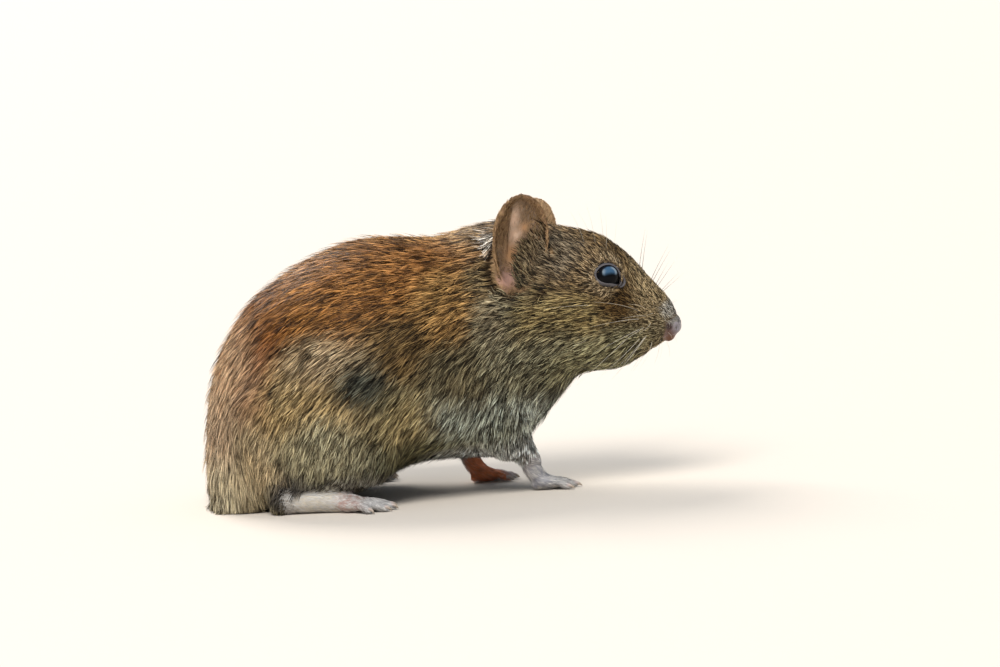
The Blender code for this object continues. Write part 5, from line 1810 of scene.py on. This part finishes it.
class VOLE_OT_whiskers(Operator):
    """Makes the whiskers of the muzzle and the bristles over the eyes"""

    bl_idname = "vole.whiskers"
    bl_label = "Whiskers"

    def execute(self, context):
        coat, colours = settings()
        chance = np.random.default_rng(coat.seed + 3)
        tree = read_pelt().tree
        recipe = Recipe(bpy.data.materials.new("vole_whisker"))
        share = recipe.ease(recipe.reading("along") * 0.8 + recipe.reading("pale"), 0.3, 0.95)
        colour = recipe.mix(share, colours.dark_whisker, colours.pale_whisker)
        material = recipe.surface({"Base Color": colour, "Roughness": 0.45 - share * 0.15})
        for side, side_name in SIDE_NAMES.items():
            whiskers = [*UPRIGHT_WHISKERS, *pad_whiskers()]
            lines = []
            for whisker in whiskers:
                line = whisker_line(whisker, side, tree, chance)
                radii = [whisker.thick * MM * (1.0 - 0.85 * i / WHISKER_STEPS) for i in range(len(line))]
                lines.append((line, radii))
            obj = tube_object(f"whiskers_{side_name}", lines, WHISKER_SIDES, material)
            pale = np.repeat([whisker.pale for whisker in whiskers], WHISKER_SIDES * (WHISKER_STEPS + 1))
            keep_values(obj.data, "pale", pale)
        return {"FINISHED"}


def soft_lamp(name, power, place, size, colour):
    """A square lamp that looks at the middle of the model."""
    lamp = bpy.data.lights.new(name, "AREA")
    lamp.energy = power
    lamp.size = size
    lamp.color = colour
    obj = bpy.data.objects.new(name, lamp)
    obj.location = place
    obj.rotation_euler = (Vector((0, 0, 0.02)) - obj.location).to_track_quat("-Z", "Y").to_euler()
    bpy.context.scene.collection.objects.link(obj)


def floor_material(stage):
    """Pale matt paper with a faint grain."""
    recipe = Recipe(bpy.data.materials.new("stage_floor"))
    place = recipe.node("ShaderNodeTexCoord", out=3)
    grain = recipe.noise(place, 700.0, 3.0)
    colour = recipe.mix(grain * 0.12, stage.floor, (0.78, 0.74, 0.69))
    return recipe.surface({"Base Color": colour, "Roughness": 0.8 + grain * 0.1, "Specular IOR Level": 0.2})


class VOLE_OT_stage(Operator):
    """Sets the floor, the lights and the camera"""

    bl_idname = "vole.stage"
    bl_label = "Stage"

    def execute(self, context):
        scene, stage = context.scene, context.scene.vole_stage
        disc = bmesh.new()
        bmesh.ops.create_circle(disc, cap_ends=True, segments=128, radius=stage.floor_radius)
        mesh = bpy.data.meshes.new("stage_floor")
        disc.to_mesh(mesh)
        disc.free()
        floor = add_object("stage_floor", mesh, floor_material(stage), ride=False)
        scene.world = sky_above(stage)
        soft_lamp("key_lamp", stage.key_power, *KEY_LAMP)
        soft_lamp("back_lamp", stage.fill_power, *BACK_LAMP)
        add_camera(scene)
        scene.view_settings.view_transform = "Standard"
        scene.view_settings.look = "None"
        return {"FINISHED"}


def sky_above(stage):
    """Air that is warm and dim near the horizon, and brighter and bluer overhead."""
    recipe = Recipe(bpy.data.worlds.new("stage_air"))
    height = recipe.node("ShaderNodeSeparateXYZ", None, {0: recipe.node("ShaderNodeTexCoord")}, 2)
    stops = [(place, opaque(getattr(stage, name))) for place, name in AIR_STOPS]
    colour = recipe.node("ShaderNodeValToRGB", {"stops": stops}, {"Fac": height})
    air = recipe.node("ShaderNodeBackground", None, {"Color": colour, "Strength": stage.air_strength})
    recipe.node("ShaderNodeOutputWorld", None, {"Surface": air})
    return recipe.owner


def add_camera(scene):
    """The camera that sees the model as the photograph does: from its right, a little from above."""
    sideways = Vector((1, 0, 0))
    upright = Vector((0, math.sin(CAMERA_LIFT), math.cos(CAMERA_LIFT)))
    back = Vector((0, -math.cos(CAMERA_LIFT), math.sin(CAMERA_LIFT)))
    right = sideways * math.cos(CAMERA_ROLL) - upright * math.sin(CAMERA_ROLL)
    up = sideways * math.sin(CAMERA_ROLL) + upright * math.cos(CAMERA_ROLL)
    target = placed((0, 0, 0)) + (right * CAMERA_AIM[0] + up * CAMERA_AIM[1]) * MM
    lens = bpy.data.cameras.new("camera")
    lens.sensor_width = SENSOR_WIDTH
    lens.lens = SENSOR_WIDTH * CAMERA_DISTANCE / CAMERA_WIDTH
    lens.clip_start = 0.01
    lens.clip_end = 50.0
    camera = bpy.data.objects.new("camera", lens)
    turn = Matrix((right, up, back)).transposed().to_4x4()
    camera.matrix_world = Matrix.Translation(target + back * CAMERA_DISTANCE * MM) @ turn
    scene.collection.objects.link(camera)
    scene.camera = camera


class VOLE_PT_model(Panel):
    """The settings and the steps of the model"""

    bl_label = "Bank Vole"
    bl_idname = "VOLE_PT_model"
    bl_space_type = "VIEW_3D"
    bl_region_type = "UI"
    bl_category = "Vole"

    def draw(self, context):
        layout = self.layout
        for operator in OPERATORS:
            layout.operator(operator.bl_idname)
        for name, kind in GROUPS.items():
            box = layout.box()
            for key in kind.__annotations__:
                box.prop(getattr(context.scene, name), key)


OPERATORS = (
    VOLE_OT_stage,
    VOLE_OT_skin,
    VOLE_OT_body_coat,
    VOLE_OT_head_coat,
    VOLE_OT_short_coat,
    VOLE_OT_eyes,
    VOLE_OT_claws,
    VOLE_OT_whiskers,
)
GROUPS = {"vole_coat": VoleCoat, "vole_colours": VoleColours, "vole_stage": VoleStage}
CLASSES = (*GROUPS.values(), *OPERATORS, VOLE_PT_model)


def register():
    for kind in CLASSES:
        bpy.utils.register_class(kind)
    for name, kind in GROUPS.items():
        setattr(bpy.types.Scene, name, PointerProperty(type=kind))


def unregister():
    for name in GROUPS:
        delattr(bpy.types.Scene, name)
    for kind in reversed(CLASSES):
        bpy.utils.unregister_class(kind)


def main():
    """Builds the model."""
    register()
    bpy.ops.vole.stage()
    bpy.ops.vole.skin()
    bpy.ops.vole.body_coat()
    bpy.ops.vole.head_coat()
    bpy.ops.vole.short_coat()
    bpy.ops.vole.eyes()
    bpy.ops.vole.claws()
    bpy.ops.vole.whiskers()


if __name__ == "__main__":
    main()
